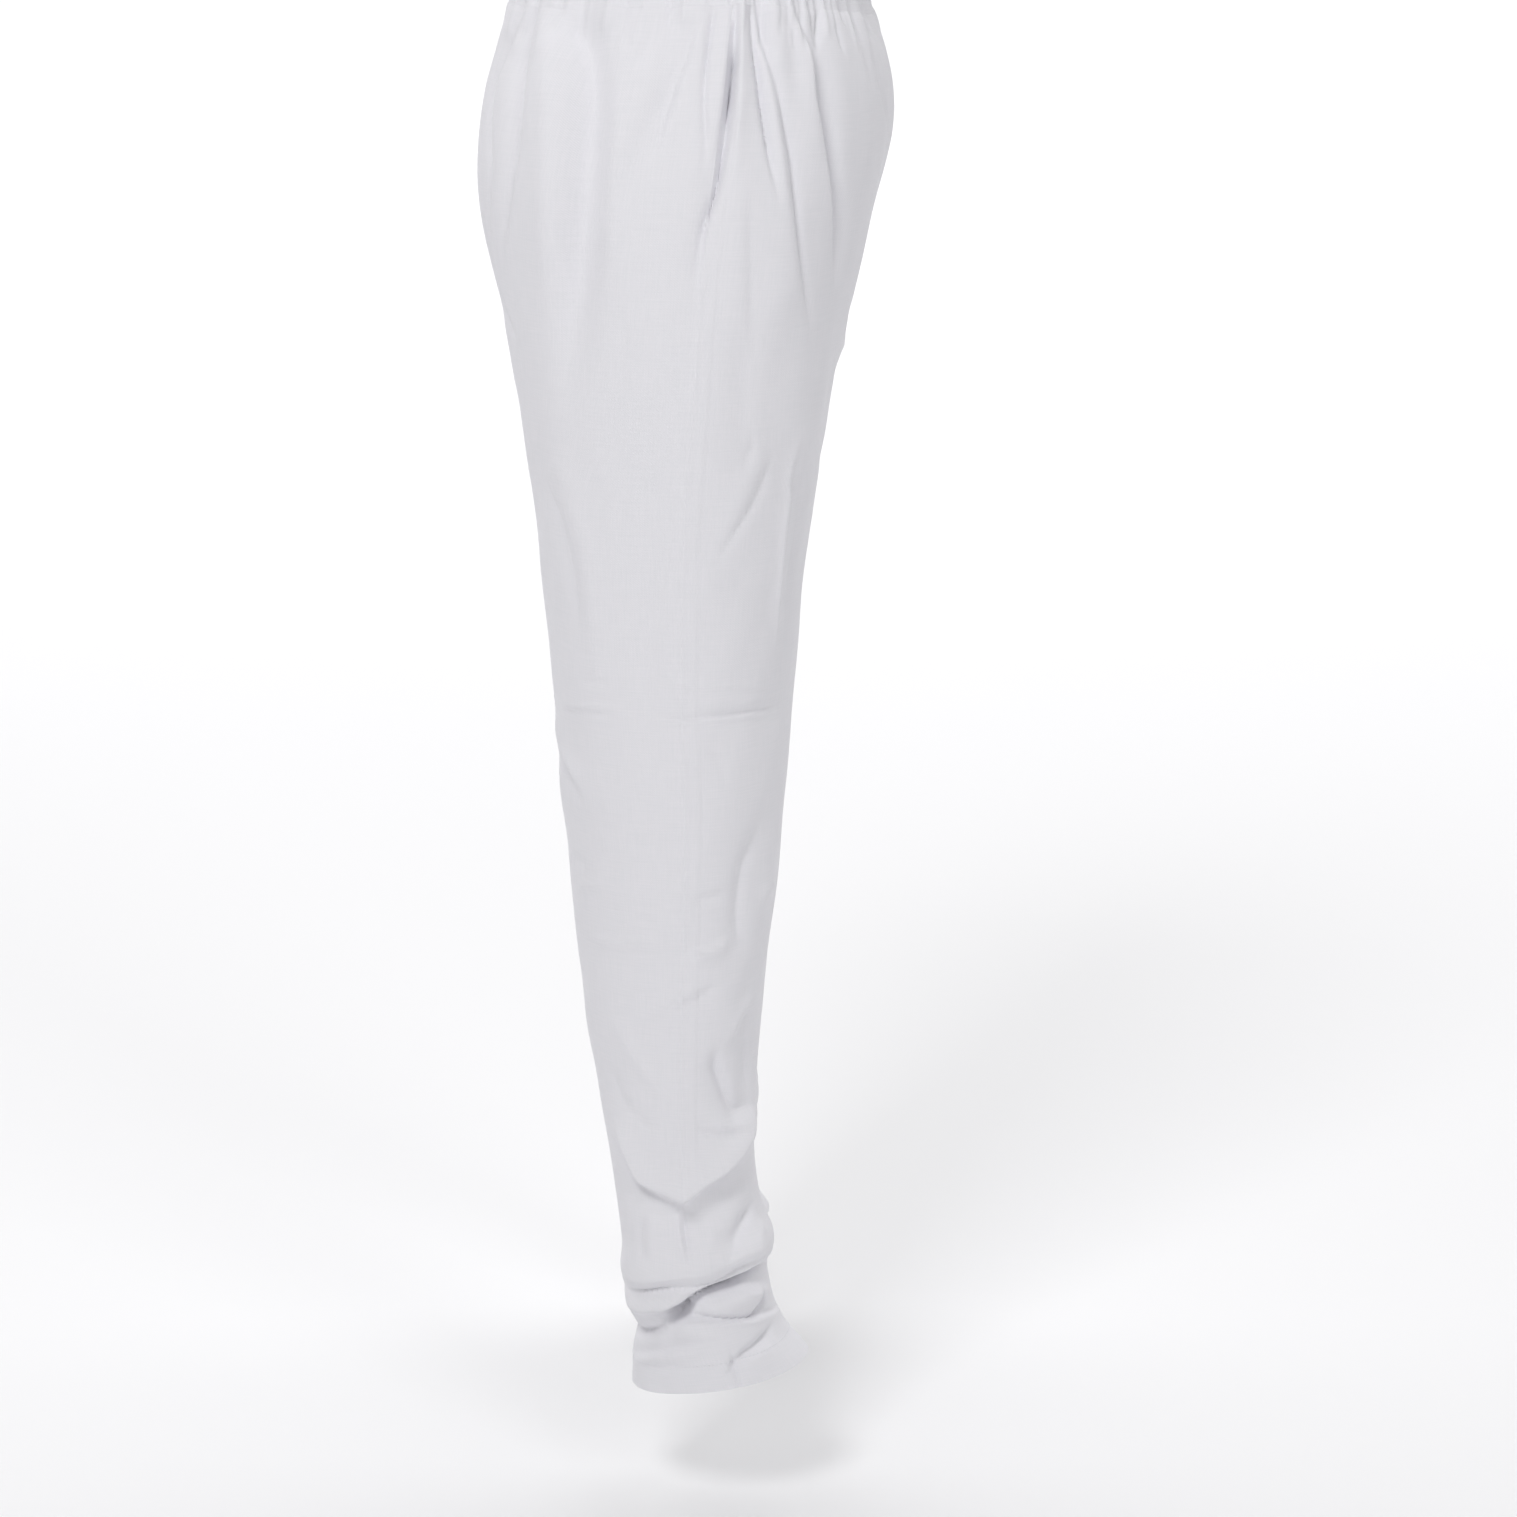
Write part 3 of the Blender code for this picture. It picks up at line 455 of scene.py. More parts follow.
def rise_softly(value):
    """Go from 0 to 1 with a soft start and end."""
    clipped = np.clip(value, 0.0, 1.0)
    return clipped * clipped * (3.0 - 2.0 * clipped)


def cut_at(name, drop):
    """Read one size of the garment's sections at any drop, on a smooth curve through the rows."""
    levels = np.array([section.drop for section in SECTIONS])
    values = np.array([getattr(section, name) for section in SECTIONS])
    slopes = np.gradient(values, levels)
    index = np.clip(np.searchsorted(levels, drop, side="right") - 1, 0, len(levels) - 2)
    span = levels[index + 1] - levels[index]
    t = (drop - levels[index]) / span
    start = values[index] * (1 + 2 * t) * (1 - t) ** 2 + slopes[index] * span * t * (1 - t) ** 2
    end = values[index + 1] * t * t * (3 - 2 * t) + slopes[index + 1] * span * t * t * (t - 1)
    return start + end


def half_round(seam_y, reach_y, reach_x, side_y, drop):
    """The line of the cloth from the centre seam or inseam to the side seam, front or back."""
    inner = max(float(cut_at("inner", drop)), 0.0)
    outer = float(cut_at("outer", drop))
    angles = np.linspace(0.0, math.pi / 2, ARC_STEPS)
    torso = float(rise_softly((FORK_DROP - drop) / FORK_SOFTENS))
    rise = torso * np.sin(angles) ** 2 + (1 - torso) * np.sin(angles)
    back_off = torso * (1 - angles / (math.pi / 2)) + (1 - torso) * np.cos(angles)
    inner_x = reach_x - (reach_x - inner) * back_off
    inner_y = seam_y + (reach_y - seam_y) * rise
    outer_x = reach_x + (outer - reach_x) * np.sin(angles)
    outer_y = side_y + (reach_y - side_y) * np.cos(angles)
    return np.concatenate([inner_x, outer_x[1:]]), np.concatenate([inner_y, outer_y[1:]])


def share_out(xs, ys, shares):
    """Points at shares of a line's length."""
    lengths = np.concatenate([[0.0], np.cumsum(np.hypot(np.diff(xs), np.diff(ys)))])
    wanted = shares * lengths[-1]
    return np.interp(wanted, lengths, xs), np.interp(wanted, lengths, ys), lengths[-1]


def leg_round(leg, drop, turns):
    """One level of a leg: distance from the centre plane and Y at each turn, and the half girth."""
    pull = leg.instep_back * float(rise_softly((drop - INSTEP_START) / (SIDE_LENGTH - INSTEP_START)))
    cut = {name: float(cut_at(name, drop)) for name in Section._fields[1:]}
    front = cut["front"] + pull
    side = cut["side"] + pull / 2
    seam_front = cut["seam_front"]
    seam_back = cut["seam_back"]
    if drop >= FORK_DROP:
        seam_front = seam_back = (seam_front + seam_back) / 2 + pull / 2
    in_front = turns <= 0.5
    front_line = half_round(seam_front - SEAM_GAP / 2, front, cut["front_x"], side, drop)
    back_line = half_round(seam_back + SEAM_GAP / 2, cut["back"], cut["back_x"], side, drop)
    front_x, front_y, front_girth = share_out(*front_line, turns[in_front] * 2)
    back_x, back_y, back_girth = share_out(*back_line, 2 - turns[~in_front] * 2)
    return np.concatenate([front_x, back_x]), np.concatenate([front_y, back_y]), front_girth + back_girth


def level_height(leg, drop, turns, ys):
    """Z of a level: the waist seam dips at the centre front and back, and the hem slants to the heel."""
    front_share = np.cos(np.clip(turns, 0, 0.5) * math.pi) ** 2
    back_share = np.cos(np.clip(1 - turns, 0, 0.5) * math.pi) ** 2
    dip = float(rise_softly(1 - drop / WAIST_DIP_REACH)) * (FRONT_DIP * front_share + BACK_DIP * back_share)
    hem = float(rise_softly((drop - SIDE_LENGTH + HEM_SLANT_REACH) / HEM_SLANT_REACH))
    return WAIST_SEAM_Z - drop - dip - hem * leg.hem_fall * (ys - HEM_LEVEL_Y)


def facing(points, drops, turns, side):
    """Unit directions out of the cloth, kept square to the gap along the inseam."""
    down = np.gradient(points, drops, axis=0)
    once = np.delete(points, PANEL_COLUMNS + 1, axis=1)
    round_leg = np.gradient(once, np.delete(turns, PANEL_COLUMNS + 1), axis=1)
    round_leg = np.insert(round_leg, PANEL_COLUMNS + 1, round_leg[:, PANEL_COLUMNS], axis=1)
    out = np.cross(down, round_leg) * side
    below_fork = drops >= FORK_DROP
    out[below_fork, 0, 1] = 0.0
    out[below_fork, -1, 1] = 0.0
    return out / np.linalg.norm(out, axis=2, keepdims=True)


def keep_own_side(points, side):
    """Hold the cloth of a leg on its own side of the centre plane."""
    kept = points.copy()
    kept[..., 0] = side * np.maximum(kept[..., 0] * side, SEAM_GAP / 2)
    return kept


def large_folds(leg):
    """The folds that the solids have: the table's, the gathers' ridges and the roll over the instep."""
    gathers = [((turn, 0, height, GATHER_WIDTH), (turn + lean, length, 0, GATHER_FOOT_WIDTH))
               for turn, lean, length, height in GATHERS]
    return [[FoldPoint(*(size / THOUSANDTHS for size in point)) for point in line]
            for line in (*FOLDS, *gathers, INSTEP_ROLLS[leg.name])]


def fold_rise(leg, drops, turns, girths):
    """Rise of the cloth from its large folds."""
    total = np.zeros((len(drops), len(turns)))
    girth = girths[:, None]
    for line in large_folds(leg):
        nearest = np.full_like(total, np.inf)
        rise = np.zeros_like(total)
        for start, end in zip(line, line[1:]):
            along_x = (end.turn - start.turn) * girth
            along_z = end.drop - start.drop
            away_x = (turns[None, :] - start.turn) * girth
            away_z = drops[:, None] - start.drop
            length_squared = along_x ** 2 + along_z ** 2
            share = np.clip((away_x * along_x + away_z * along_z) / length_squared, 0.0, 1.0)
            distance = np.hypot(away_x - share * along_x, away_z - share * along_z)
            height = start.height + (end.height - start.height) * share
            width = start.width + (end.width - start.width) * share
            closer = distance < nearest
            rise = np.where(closer, height * np.exp(-((distance / width) ** 2)), rise)
            nearest = np.where(closer, distance, nearest)
        total += rise
    return total


def smooth_route(route):
    """More points on a smooth line through a crease's own points."""
    points = np.array(route, float)
    padded = np.concatenate([[2 * points[0] - points[1]], points, [2 * points[-1] - points[-2]]])
    steps = np.linspace(0.0, 1.0, ROUTE_STEPS, endpoint=False)[:, None]
    spans = []
    for before, start, end, after in zip(padded, padded[1:], padded[2:], padded[3:]):
        bend = 2 * before - 5 * start + 4 * end - after
        twist = 3 * start - before - 3 * end + after
        spans.append(start + 0.5 * steps * (end - before + steps * (bend + steps * twist)))
    return np.concatenate(spans + [points[-1:]])


def lay_crease(rise, sag, crease, drops, turns, girths):
    """Add one crease to the rise of the cloth, and to the sag of what hangs over."""
    line = smooth_route(crease.route)
    girth = float(np.interp(line[:, 1].mean(), drops, girths))
    reach = crease.width * CREASE_REACH * (1 + abs(crease.skew))
    rows = np.flatnonzero((drops > line[:, 1].min() - reach) & (drops < line[:, 1].max() + reach))
    near = reach / girth
    columns = np.flatnonzero((turns > line[:, 0].min() - near) & (turns < line[:, 0].max() + near))
    if not len(rows) or not len(columns):
        return
    across = turns[columns][None, :] * girth
    below = drops[rows][:, None]
    starts = line[:-1] * (girth, 1.0)
    runs = np.diff(line, axis=0) * (girth, 1.0)
    lengths = np.linalg.norm(runs, axis=1)
    travelled = np.concatenate([[0.0], np.cumsum(lengths)])
    best = np.full((len(rows), len(columns)), np.inf)
    signed = np.zeros_like(best)
    place = np.zeros_like(best)
    for start, run, length, before in zip(starts, runs, lengths, travelled):
        away_x = across - start[0]
        away_z = below - start[1]
        share = np.clip((away_x * run[0] + away_z * run[1]) / length ** 2, 0.0, 1.0)
        distance = np.hypot(away_x - share * run[0], away_z - share * run[1])
        closer = distance < best
        best = np.where(closer, distance, best)
        turned = np.sign(run[0] * away_z - run[1] * away_x)
        signed = np.where(closer, distance * turned, signed)
        place = np.where(closer, (before + share * length) / travelled[-1], place)
    first, last = crease.ends
    swell = np.minimum(first + (1 - first) * rise_softly(place / SWELL_IN),
                       last + (1 - last) * rise_softly((1 - place) / SWELL_OUT))
    scaled = np.abs(signed) * (1 + crease.skew * np.sign(signed)) / crease.width
    shape = crease.rise * swell * np.exp(-(scaled ** crease.crisp))
    window = np.ix_(rows, columns)
    rise[window] += shape
    sag[window] += crease.hang * np.maximum(shape, 0.0)


def pucker_creases(leg):
    """Small uneven tucks all round the waist seam."""
    chance = np.random.default_rng(PUCKER_SEED + leg.side)
    turn = PUCKER_PITCH / PUCKER_GIRTH / 2
    tucks = []
    while turn < 1.0:
        length = chance.uniform(*PUCKER_LENGTH)
        rise = chance.uniform(*PUCKER_RISE) * chance.choice(PUCKER_SIGNS)
        lean = chance.uniform(-PUCKER_LEAN, PUCKER_LEAN)
        route = ((turn, 0.0), (turn + lean * 0.5, length * 0.5), (turn + lean, length))
        tucks.append(Crease(route, rise, PUCKER_WIDTH, PUCKER_CRISP, ends=(1.0, 0.0)))
        turn += PUCKER_PITCH / PUCKER_GIRTH * chance.uniform(*PUCKER_SPACING)
    return tucks


def leg_creases(leg):
    """A leg's creases. The left leg's lie a little off the right leg's, as cloth never hangs twice alike."""
    chance = np.random.default_rng(LEFT_SEED)
    creases = []
    for route, rise, width, *form in WAIST_CREASES + LEG_CREASES + ANKLE_CREASES:
        route = [(turn / THOUSANDTHS, drop / THOUSANDTHS) for turn, drop in route]
        rise /= THOUSANDTHS
        if leg.name == "left":
            loose = LEFT_LOOSE[0] < route[0][1] < LEFT_LOOSE[1]
            turn_by = chance.uniform(-LEFT_TURN_SHIFT, LEFT_TURN_SHIFT)
            drop_by = chance.uniform(0.0, LEFT_DROP_SHIFT) if loose else 0.0
            route = [(turn + turn_by, drop + drop_by) for turn, drop in route]
            rise *= chance.uniform(*LEFT_RISE)
        creases.append(Crease(route, rise, width / THOUSANDTHS, *form))
    return creases + pucker_creases(leg)


def slow_drift(leg, drops, turns, girths):
    """Low waves that keep any stretch of cloth from lying perfectly even."""
    chance = np.random.default_rng(DRIFT_SEED + leg.side)
    across = turns[None, :] * girths[:, None]
    round_by, down_by = DRIFT_STRETCH
    drift = np.zeros((len(drops), len(turns)))
    for _ in range(DRIFT_WAVES):
        wave = chance.uniform(*DRIFT_LENGTH)
        slant = chance.uniform(0.0, math.pi)
        phase = chance.uniform(0.0, 2 * math.pi)
        travel = across * math.cos(slant) * round_by + drops[:, None] * math.sin(slant) * down_by
        drift += DRIFT_RISE * np.sin(2 * math.pi * travel / wave + phase)
    return drift


def hang_cloth(leg, drops, turns):
    """Outer points, outward directions and half girths of one leg's cloth."""
    levels = [leg_round(leg, drop, turns) for drop in drops]
    girths = np.array([girth for _, _, girth in levels])
    points = np.empty((len(drops), len(turns), 3))
    for row, (drop, (xs, ys, _)) in enumerate(zip(drops, levels)):
        points[row, :, 0] = leg.side * np.maximum(xs, SEAM_GAP / 2)
        points[row, :, 1] = ys
        points[row, :, 2] = level_height(leg, drop, turns, ys)
    out = facing(points, drops, turns, leg.side)
    rise = fold_rise(leg, drops, turns, girths) + slow_drift(leg, drops, turns, girths)
    sag = np.zeros_like(rise)
    for crease in leg_creases(leg):
        lay_crease(rise, sag, crease, drops, turns, girths)
    to_front = (0.5 - turns[None, :]) * girths[:, None]
    taut = rise_softly((SEAM_FADE_DROP - drops[:, None]) / SEAM_FADE_REACH)
    rise += SEAM_RIDGE * np.exp(-((to_front / SEAM_RIDGE_WIDTH) ** 2)) * taut
    lap = rise_softly(to_front / SEAM_RIDGE_WIDTH + 0.5)
    lap *= rise_softly((SEAM_LAP_WIDTH - to_front) / SEAM_LAP_EDGE)
    rise += SEAM_LAP * lap * taut
    rise -= WAIST_SINK * np.exp(-((drops[:, None] / WAIST_SINK_DROP) ** 2))
    below_fork = rise_softly((drops[:, None] - FORK_DROP) / INSEAM_HOLD_START)
    to_inseam = np.minimum(turns, 1 - turns)[None, :] * girths[:, None]
    held = 1 - below_fork * (1 - rise_softly(to_inseam / INSEAM_HOLD))
    points = points + out * (rise * held)[..., None]
    points[..., 2] -= sag * held
    points = keep_own_side(points, leg.side)
    return points, facing(points, drops, turns, leg.side), girths


def spaced(stretches):
    """Evenly spaced values along each stretch, given as start, end and count."""
    values = [stretches[0][0]]
    for start, end, count in stretches:
        values.extend(np.linspace(start, end, count + 1)[1:])
    return np.array(values)


def mesh_columns():
    """Turns of the columns of the front panel and then of the back panel, which meet at the side seam."""
    return np.concatenate([spaced(FRONT_COLUMNS), np.nextafter(spaced(BACK_COLUMNS), 1.0)])


def wall_faces(rows, columns, closed):
    """Faces of a wall of cloth: its outer grid, its inner grid and its edges."""
    spans = columns if closed else columns - 1
    row, column = np.meshgrid(np.arange(rows - 1), np.arange(spans), indexing="ij")
    here = row * columns + column
    beside = row * columns + (column + 1) % columns
    offset = rows * columns
    outer = np.stack([here, here + columns, beside + columns, beside], axis=-1).reshape(-1, 4)
    inner = np.stack([here, beside, beside + columns, here + columns], axis=-1).reshape(-1, 4) + offset
    edge = np.arange(spans)
    ahead = (edge + 1) % columns
    foot = (rows - 1) * columns
    top = np.stack([edge, ahead, ahead + offset, edge + offset], axis=-1)
    bottom = np.stack([edge + foot, edge + foot + offset, ahead + foot + offset, ahead + foot], axis=-1)
    faces = [outer, inner, top, bottom]
    if not closed:
        down = np.arange(rows - 1) * columns
        last = down + columns - 1
        faces.append(np.stack([down, down + offset, down + columns + offset, down + columns], axis=-1))
        faces.append(np.stack([last, last + columns, last + columns + offset, last + offset], axis=-1))
    return np.concatenate(faces)


def place_object(name, data):
    """A new object in the scene."""
    placed = bpy.data.objects.new(name, data)
    bpy.context.scene.collection.objects.link(placed)
    return placed


def sew_piece(name, outer, inner, across, down, flipped, closed):
    """One piece of cloth with two sides and edges, and its cut laid flat as texture coordinates."""
    rows, columns, _ = outer.shape
    vertices = np.concatenate([outer.reshape(-1, 3), inner.reshape(-1, 3)])
    faces = wall_faces(rows, columns, closed)
    if flipped:
        faces = faces[:, ::-1]
    mesh = bpy.data.meshes.new(name)
    mesh.vertices.add(len(vertices))
    mesh.vertices.foreach_set("co", vertices.astype(np.float32).ravel())
    mesh.loops.add(faces.size)
    mesh.loops.foreach_set("vertex_index", faces.astype(np.int32).ravel())
    mesh.polygons.add(len(faces))
    mesh.polygons.foreach_set("loop_start", np.arange(0, faces.size, 4, dtype=np.int32))
    mesh.update(calc_edges=True)
    mesh.validate()
    mesh.shade_smooth()
    mesh.set_sharp_from_angle(angle=RIM_ANGLE)
    flat = np.stack([np.broadcast_to(across, (rows, columns)), np.broadcast_to(down, (rows, columns))], axis=-1)
    flat = np.concatenate([flat.reshape(-1, 2)] * 2)
    layer = mesh.uv_layers.new(name="cut")
    loops = np.empty(len(mesh.loops), np.int32)
    mesh.loops.foreach_get("vertex_index", loops)
    layer.data.foreach_set("uv", flat[loops].astype(np.float32).ravel())
    piece = place_object(name, mesh)
    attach(piece, "root")
    return piece


def sew_leg(leg):
    """Panels and hem of one leg, and the points and directions along its waist edge and its hem seam."""
    drops = spaced(ROW_STRETCHES)
    turns = mesh_columns()
    outer, out, girths = hang_cloth(leg, drops, turns)
    inner = keep_own_side(outer - out * CLOTH, leg.side)
    across = turns[None, :] * girths.mean()
    down = drops[:, None]
    flipped = leg.side < 0
    split = PANEL_COLUMNS + 1
    sewn = {}
    for part, columns in (("front", slice(0, split)), ("back", slice(split, None))):
        sewn[part] = sew_piece(f"{leg.name}_{part}_cloth", outer[:, columns], inner[:, columns],
                               across[:, columns], down, flipped, False)
        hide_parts(f"{leg.name}_{part}")
    turned_up = drops >= SIDE_LENGTH - HEM_DEPTH
    hem_outer = outer[turned_up] - out[turned_up] * (CLOTH + SEAM_GAP)
    hem_inner = hem_outer - out[turned_up] * HEM_CLOTH
    sewn["hem"] = sew_piece(f"{leg.name}_hem_cloth", hem_outer, hem_inner, across, down[turned_up], flipped, True)
    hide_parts(f"{leg.name}_hem")
    hem_row = int(np.argmax(turned_up))
    return sewn, (outer[0], out[0]), (outer[hem_row], out[hem_row])


def stitch_shape():
    """One stitch as a thread that dips in at both ends, along X with Z out of the cloth."""
    vertices = []
    for along, lift, girth in STITCH_RINGS:
        for side in range(STITCH_SIDES):
            angle = 2 * math.pi * side / STITCH_SIDES
            vertices.append((along * STITCH_LENGTH, math.cos(angle) * girth * STITCH_THICK,
                             (math.sin(angle) * girth + lift) * STITCH_THICK))
    faces = []
    for ring in range(len(STITCH_RINGS) - 1):
        for side in range(STITCH_SIDES):
            here = ring * STITCH_SIDES + side
            beside = ring * STITCH_SIDES + (side + 1) % STITCH_SIDES
            faces.append((here, beside, beside + STITCH_SIDES, here + STITCH_SIDES))
    faces.append(tuple(reversed(range(STITCH_SIDES))))
    faces.append(tuple(range(len(vertices) - STITCH_SIDES, len(vertices))))
    return np.array(vertices), faces


def run_stitches(name, points, out):
    """A row of stitches along a line of points and outward directions, joined into one piece."""
    shape, shape_faces = stitch_shape()
    vertices = []
    faces = []
    steps = np.linalg.norm(np.diff(points, axis=0), axis=1)
    travelled = np.concatenate([[0.0], np.cumsum(steps)])

    def read(values, distance):
        return np.array([np.interp(distance, travelled, values[:, axis]) for axis in range(3)])

    for middle in np.arange(STITCH_PITCH / 2, travelled[-1], STITCH_PITCH):
        place = read(points, middle)
        along = read(points, middle + STITCH_LENGTH / 2) - place
        length = np.linalg.norm(along)
        if length < STITCH_LENGTH / 4:
            continue
        along /= length
        across = np.cross(read(out, middle), along)
        across /= np.linalg.norm(across)
        up = np.cross(along, across)
        first = len(vertices) * len(shape)
        vertices.append(place + shape[:, :1] * along + shape[:, 1:2] * across + shape[:, 2:] * up)
        faces.extend(tuple(index + first for index in face) for face in shape_faces)
    mesh = bpy.data.meshes.new(name)
    mesh.from_pydata(np.concatenate(vertices).tolist(), [], faces)
    mesh.shade_smooth()
    piece = place_object(name, mesh)
    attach(piece, "root")
    return piece


def sew_band(right_edge, left_edge):
    """The waistband, which takes up the gathers of both legs and draws in above the waist seam."""
    points = np.concatenate([right_edge[0], left_edge[0][::-1]])
    out = np.concatenate([right_edge[1], left_edge[1][::-1]])
    out[:, 2] = 0.0
    out /= np.linalg.norm(out, axis=1, keepdims=True)
    heights = np.linspace(BAND_HEIGHT, SEAM_GAP, BAND_ROWS)
    rounded = np.minimum((BAND_HEIGHT - heights) / BAND_EDGE_HEIGHT, 1.0)
    inset = BAND_EDGE_INSET * (1 - np.sqrt(1 - (1 - rounded) ** 2))
    above_channel = heights - (BAND_HEIGHT - BAND_CHANNEL_DROP)
    channel = BAND_CHANNEL_DEPTH * np.exp(-((above_channel / BAND_CHANNEL_WIDTH) ** 2))
    lift = -BAND_FLARE * (1 - np.exp(-heights / BAND_FLARE_HEIGHT)) - inset - channel
    up = np.array([0.0, 0.0, 1.0])
    outer = points[None] + up * heights[:, None, None] + out[None] * lift[:, None, None]
    inner = outer - out[None] * BAND_CLOTH
    steps = np.linalg.norm(np.diff(points, axis=0, append=points[:1]), axis=1)
    across = np.concatenate([[0.0], np.cumsum(steps)[:-1]])[None, :]
    band = sew_piece("waistband_cloth", outer, inner, across, heights[:, None], True, True)
    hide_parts("waistband")
    return band


def linear_colour(hex_colour):
    """An sRGB hex value as linear red, green, blue and alpha."""
    parts = [int(hex_colour[index:index + 2], 16) / 255 for index in (1, 3, 5)]
    return tuple(part / 12.92 if part <= 0.04045 else ((part + 0.055) / 1.055) ** 2.4 for part in parts) + (1.0,)


def add_node(tree, kind, settings=None, links=None):
    """Add one node, set its properties and sockets by name, and link its inputs."""
    node = tree.nodes.new(kind)
    for name, value in (settings or {}).items():
        if name in node.inputs:
            node.inputs[name].default_value = value
        else:
            setattr(node, name, value)
    for name, source in (links or {}).items():
        tree.links.new(source, node.inputs[name])
    return node


def new_material(name):
    """A material with an empty node tree."""
    material = bpy.data.materials.new(name)
    material.use_nodes = True
    material.node_tree.nodes.clear()
    return material, material.node_tree


def reckon(tree, operation, *terms):
    """One arithmetic node over sockets and numbers, as its result's socket."""
    node = add_node(tree, "ShaderNodeMath", {"operation": operation})
    for socket, term in zip(node.inputs, terms):
        if isinstance(term, float):
            socket.default_value = term
        else:
            tree.links.new(term, socket)
    return node.outputs["Value"]


def blend(tree, share, shade, light):
    """A colour between two sRGB hex values, as its socket."""
    node = add_node(tree, "ShaderNodeMix", {"data_type": "RGBA"})
    tree.links.new(share, node.inputs[0])
    node.inputs[6].default_value = linear_colour(shade)
    node.inputs[7].default_value = linear_colour(light)
    return node.outputs[2]


def cotton_cambric(name, light, shade):
    """Bleached cotton cambric, plain woven and washed: matt white with a faint cool cast.

    Thicker threads show as fine streaks down and across the cloth, and the weave takes the shine off it.
    Threads of a third of a millimetre are too fine for the view, so they are drawn more than twice as wide.
    """
    material, tree = new_material(name)
    place = add_node(tree, "ShaderNodeUVMap", {"uv_map": "cut"}).outputs["UV"]
    fine = 1 / THREAD_WIDTH
    long = 1 / (THREAD_WIDTH * SLUB_THREADS)
    slubs = []
    for scale in ((fine, long, 1.0), (long, fine, 1.0)):
        drawn = add_node(tree, "ShaderNodeMapping", {"Scale": scale}, {"Vector": place})
        slub = add_node(tree, "ShaderNodeTexNoise", {"Scale": 1.0, "Detail": 2.0},
                        {"Vector": drawn.outputs["Vector"]})
        slubs.append(slub.outputs["Fac"])
    streaks = reckon(tree, "ADD", *slubs)
    tone = add_node(tree, "ShaderNodeMapRange",
                    {"From Min": SLUB_SPAN[0], "From Max": SLUB_SPAN[1], "To Min": 0.0, "To Max": 1.0},
                    {"Value": streaks})
    colour = blend(tree, tone.outputs["Result"], shade, light)
    cut = add_node(tree, "ShaderNodeSeparateXYZ", {}, {"Vector": place})
    waves = [reckon(tree, "SINE", reckon(tree, "MULTIPLY", cut.outputs[axis], math.pi / THREAD_WIDTH))
             for axis in ("X", "Y")]
    weave = reckon(tree, "MULTIPLY", *waves)
    relief = reckon(tree, "MULTIPLY_ADD", streaks, SLUB_RELIEF, weave)
    bump = add_node(tree, "ShaderNodeBump", {"Strength": 0.12, "Distance": 0.0002}, {"Height": relief})
    shader = add_node(tree, "ShaderNodeBsdfPrincipled", {
        "Roughness": 0.88,
        "Metallic": 0.0,
        "IOR": 1.46,
        "Specular IOR Level": 0.25,
        "Sheen Weight": 0.12,
        "Sheen Roughness": 0.6,
    }, {"Base Color": colour, "Normal": bump.outputs["Normal"]})
    add_node(tree, "ShaderNodeOutputMaterial", {}, {"Surface": shader.outputs["BSDF"]})
    return material


def spun_thread(name, light, shade):
    """Two-ply cotton sewing thread, slightly brighter and smoother than the cloth."""
    material, tree = new_material(name)
    place = add_node(tree, "ShaderNodeTexCoord").outputs["Object"]
    ply = add_node(tree, "ShaderNodeTexNoise", {"Scale": 1 / PLY_PITCH, "Detail": 1.0}, {"Vector": place})
    colour = blend(tree, ply.outputs["Fac"], shade, light)
    shader = add_node(tree, "ShaderNodeBsdfPrincipled", {"Roughness": 0.7, "IOR": 1.46}, {"Base Color": colour})
    add_node(tree, "ShaderNodeOutputMaterial", {}, {"Surface": shader.outputs["BSDF"]})
    return material


def pale_floor(name, hex_colour):
    """Matt studio floor paint, plain and pale."""
    material = bpy.data.materials.new(name)
    material.use_nodes = True
    shader = material.node_tree.nodes["Principled BSDF"]
    shader.inputs["Base Color"].default_value = linear_colour(hex_colour)
    shader.inputs["Roughness"].default_value = 0.95
    shader.inputs["Specular IOR Level"].default_value = 0.1
    return material


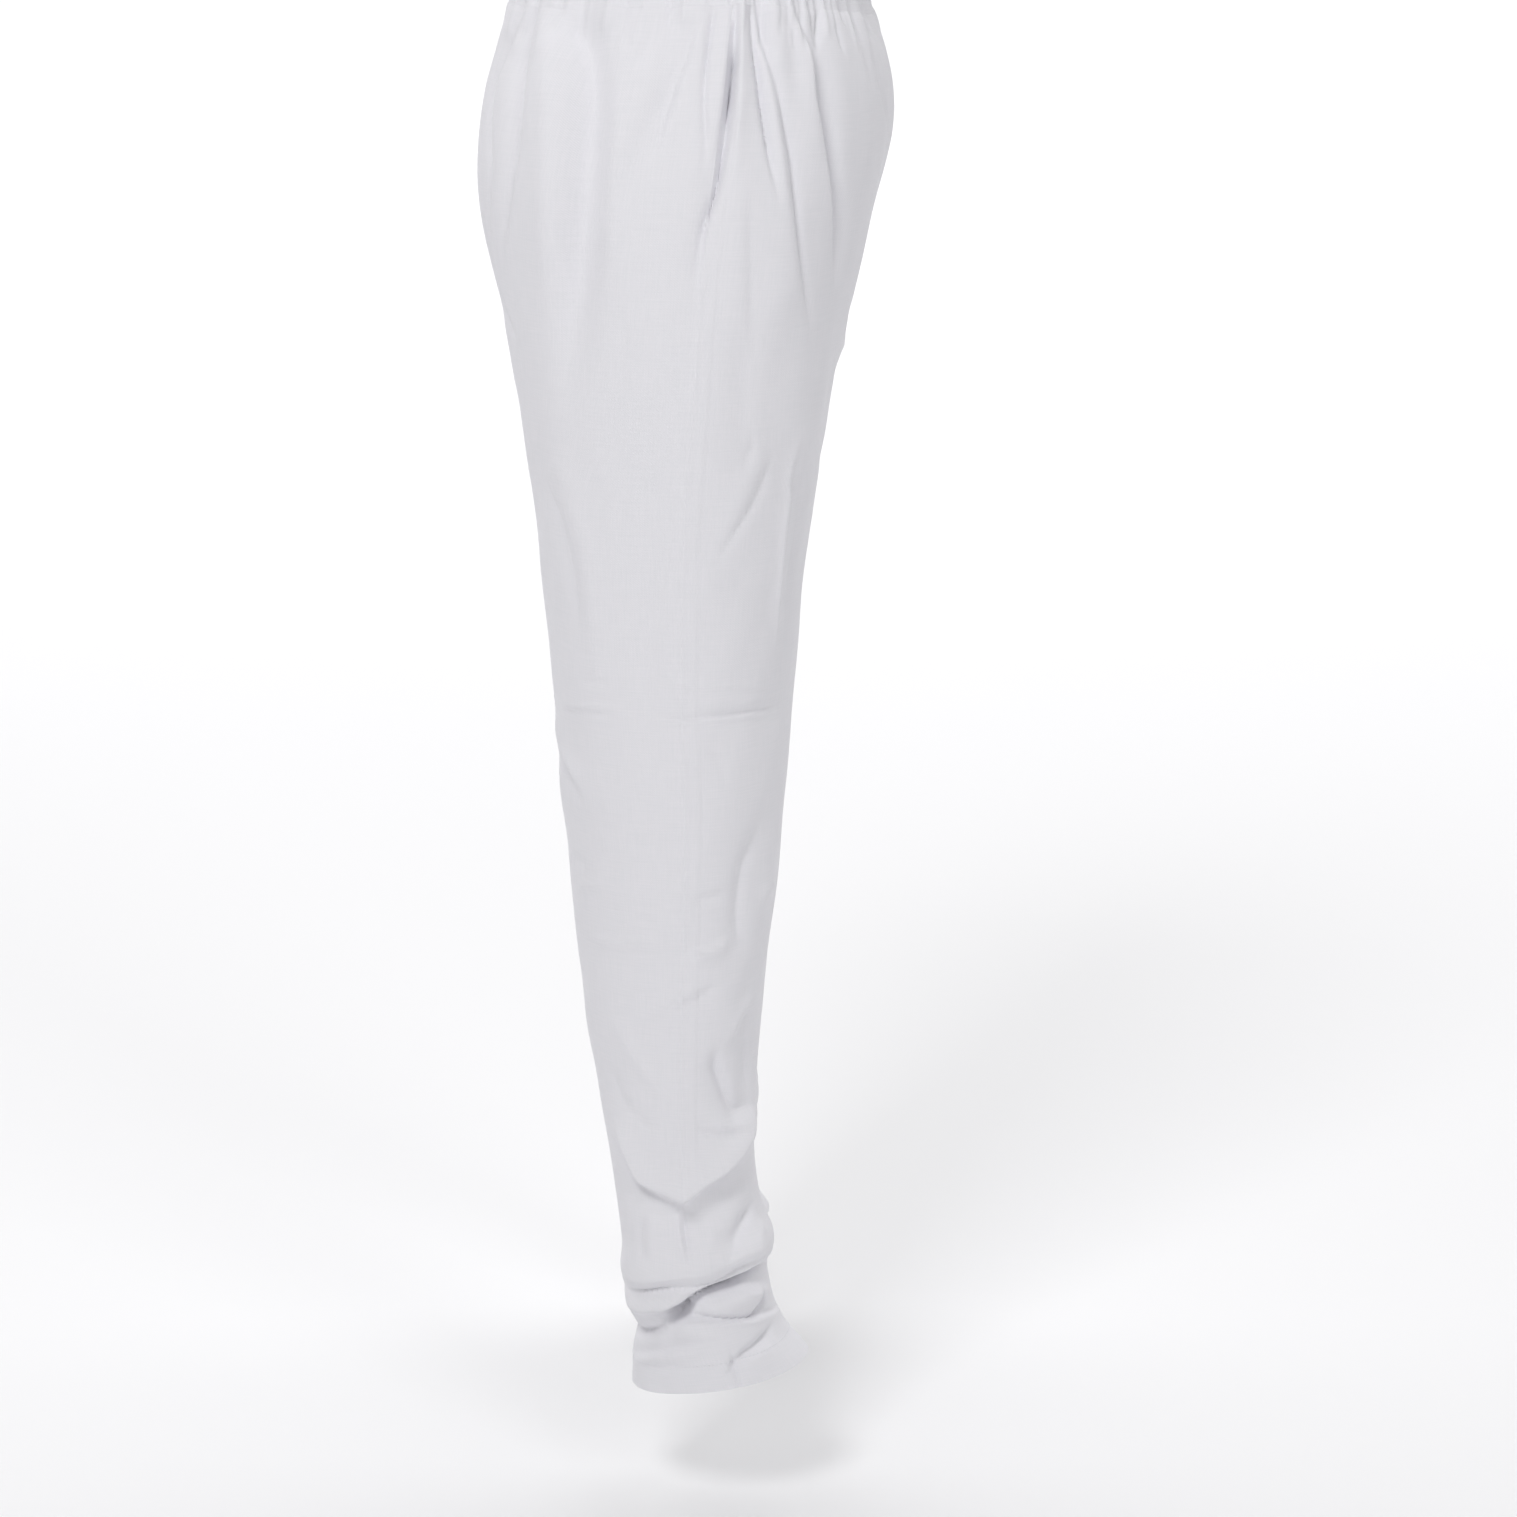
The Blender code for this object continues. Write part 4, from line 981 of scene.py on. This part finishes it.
def set_camera():
    """The camera, at the photograph's place and angle."""
    data = bpy.data.cameras.new("camera")
    data.sensor_width = SENSOR_MM
    data.lens = FOCAL_PIXELS / PHOTO_PIXELS * SENSOR_MM
    data.clip_end = CAMERA_REACH
    camera = place_object("camera", data)
    camera.location = CAMERA_PLACE
    camera.rotation_euler = (math.pi / 2 - CAMERA_PITCH, 0.0, -math.pi / 2)
    bpy.context.scene.camera = camera


def soft_light(name, place, target, size, power):
    """A square soft box that faces its target."""
    data = bpy.data.lights.new(name, "AREA")
    data.shape = "SQUARE"
    data.size = size
    data.energy = power
    lamp = place_object(name, data)
    lamp.location = place
    lamp.rotation_euler = (Vector(target) - Vector(place)).to_track_quat("-Z", "Y").to_euler()


def set_studio():
    """A pale floor in a pale room, under a ceiling panel and two soft boxes."""
    mesh = bpy.data.meshes.new("studio_floor")
    half = FLOOR_SIZE / 2
    corners = [(-half, -half, 0), (half, -half, 0), (half, half, 0), (-half, half, 0)]
    mesh.from_pydata(corners, [], [(0, 1, 2, 3)])
    mesh.materials.append(pale_floor("floor_paint", "#F1F1F2"))
    floor = place_object("studio_floor", mesh)
    floor.location = (0.0, 0.0, FLOOR_Z)
    world = bpy.data.worlds.new("studio_room")
    world.use_nodes = True
    background = world.node_tree.nodes["Background"]
    background.inputs["Color"].default_value = ROOM_COLOUR
    background.inputs["Strength"].default_value = ROOM_STRENGTH
    bpy.context.scene.world = world
    for name, (place, target, size, power) in SOFT_LIGHTS.items():
        soft_light(name, place, target, size, power)
    bpy.context.scene.view_settings.view_transform = "Standard"


def main():
    """Sew, dress and light the pyjama pants."""
    set_camera()
    cotton = cotton_cambric("cotton_cambric", "#EBEAEE", "#E6E6EA")
    # The waistband's cambric is the cloth's, painted one step lighter: painted light on the upright band, which
    # the high lamps light less than the cloth that flares out below it
    band_cotton_painted_light = cotton_cambric("waistband_cambric_painted_light", "#ECEBEF", "#E7E7EB")
    thread = spun_thread("cotton_thread", "#F4F4F7", "#DADAE0")
    waist_edges = []
    for leg in LEGS:
        sewn, waist_edge, hem_seam = sew_leg(leg)
        for piece in sewn.values():
            piece.data.materials.append(cotton)
        stitches = run_stitches(f"{leg.name}_hem_stitches", *hem_seam)
        stitches.data.materials.append(thread)
        waist_edges.append(waist_edge)
    band = sew_band(*waist_edges)
    band.data.materials.append(band_cotton_painted_light)
    set_studio()


main()
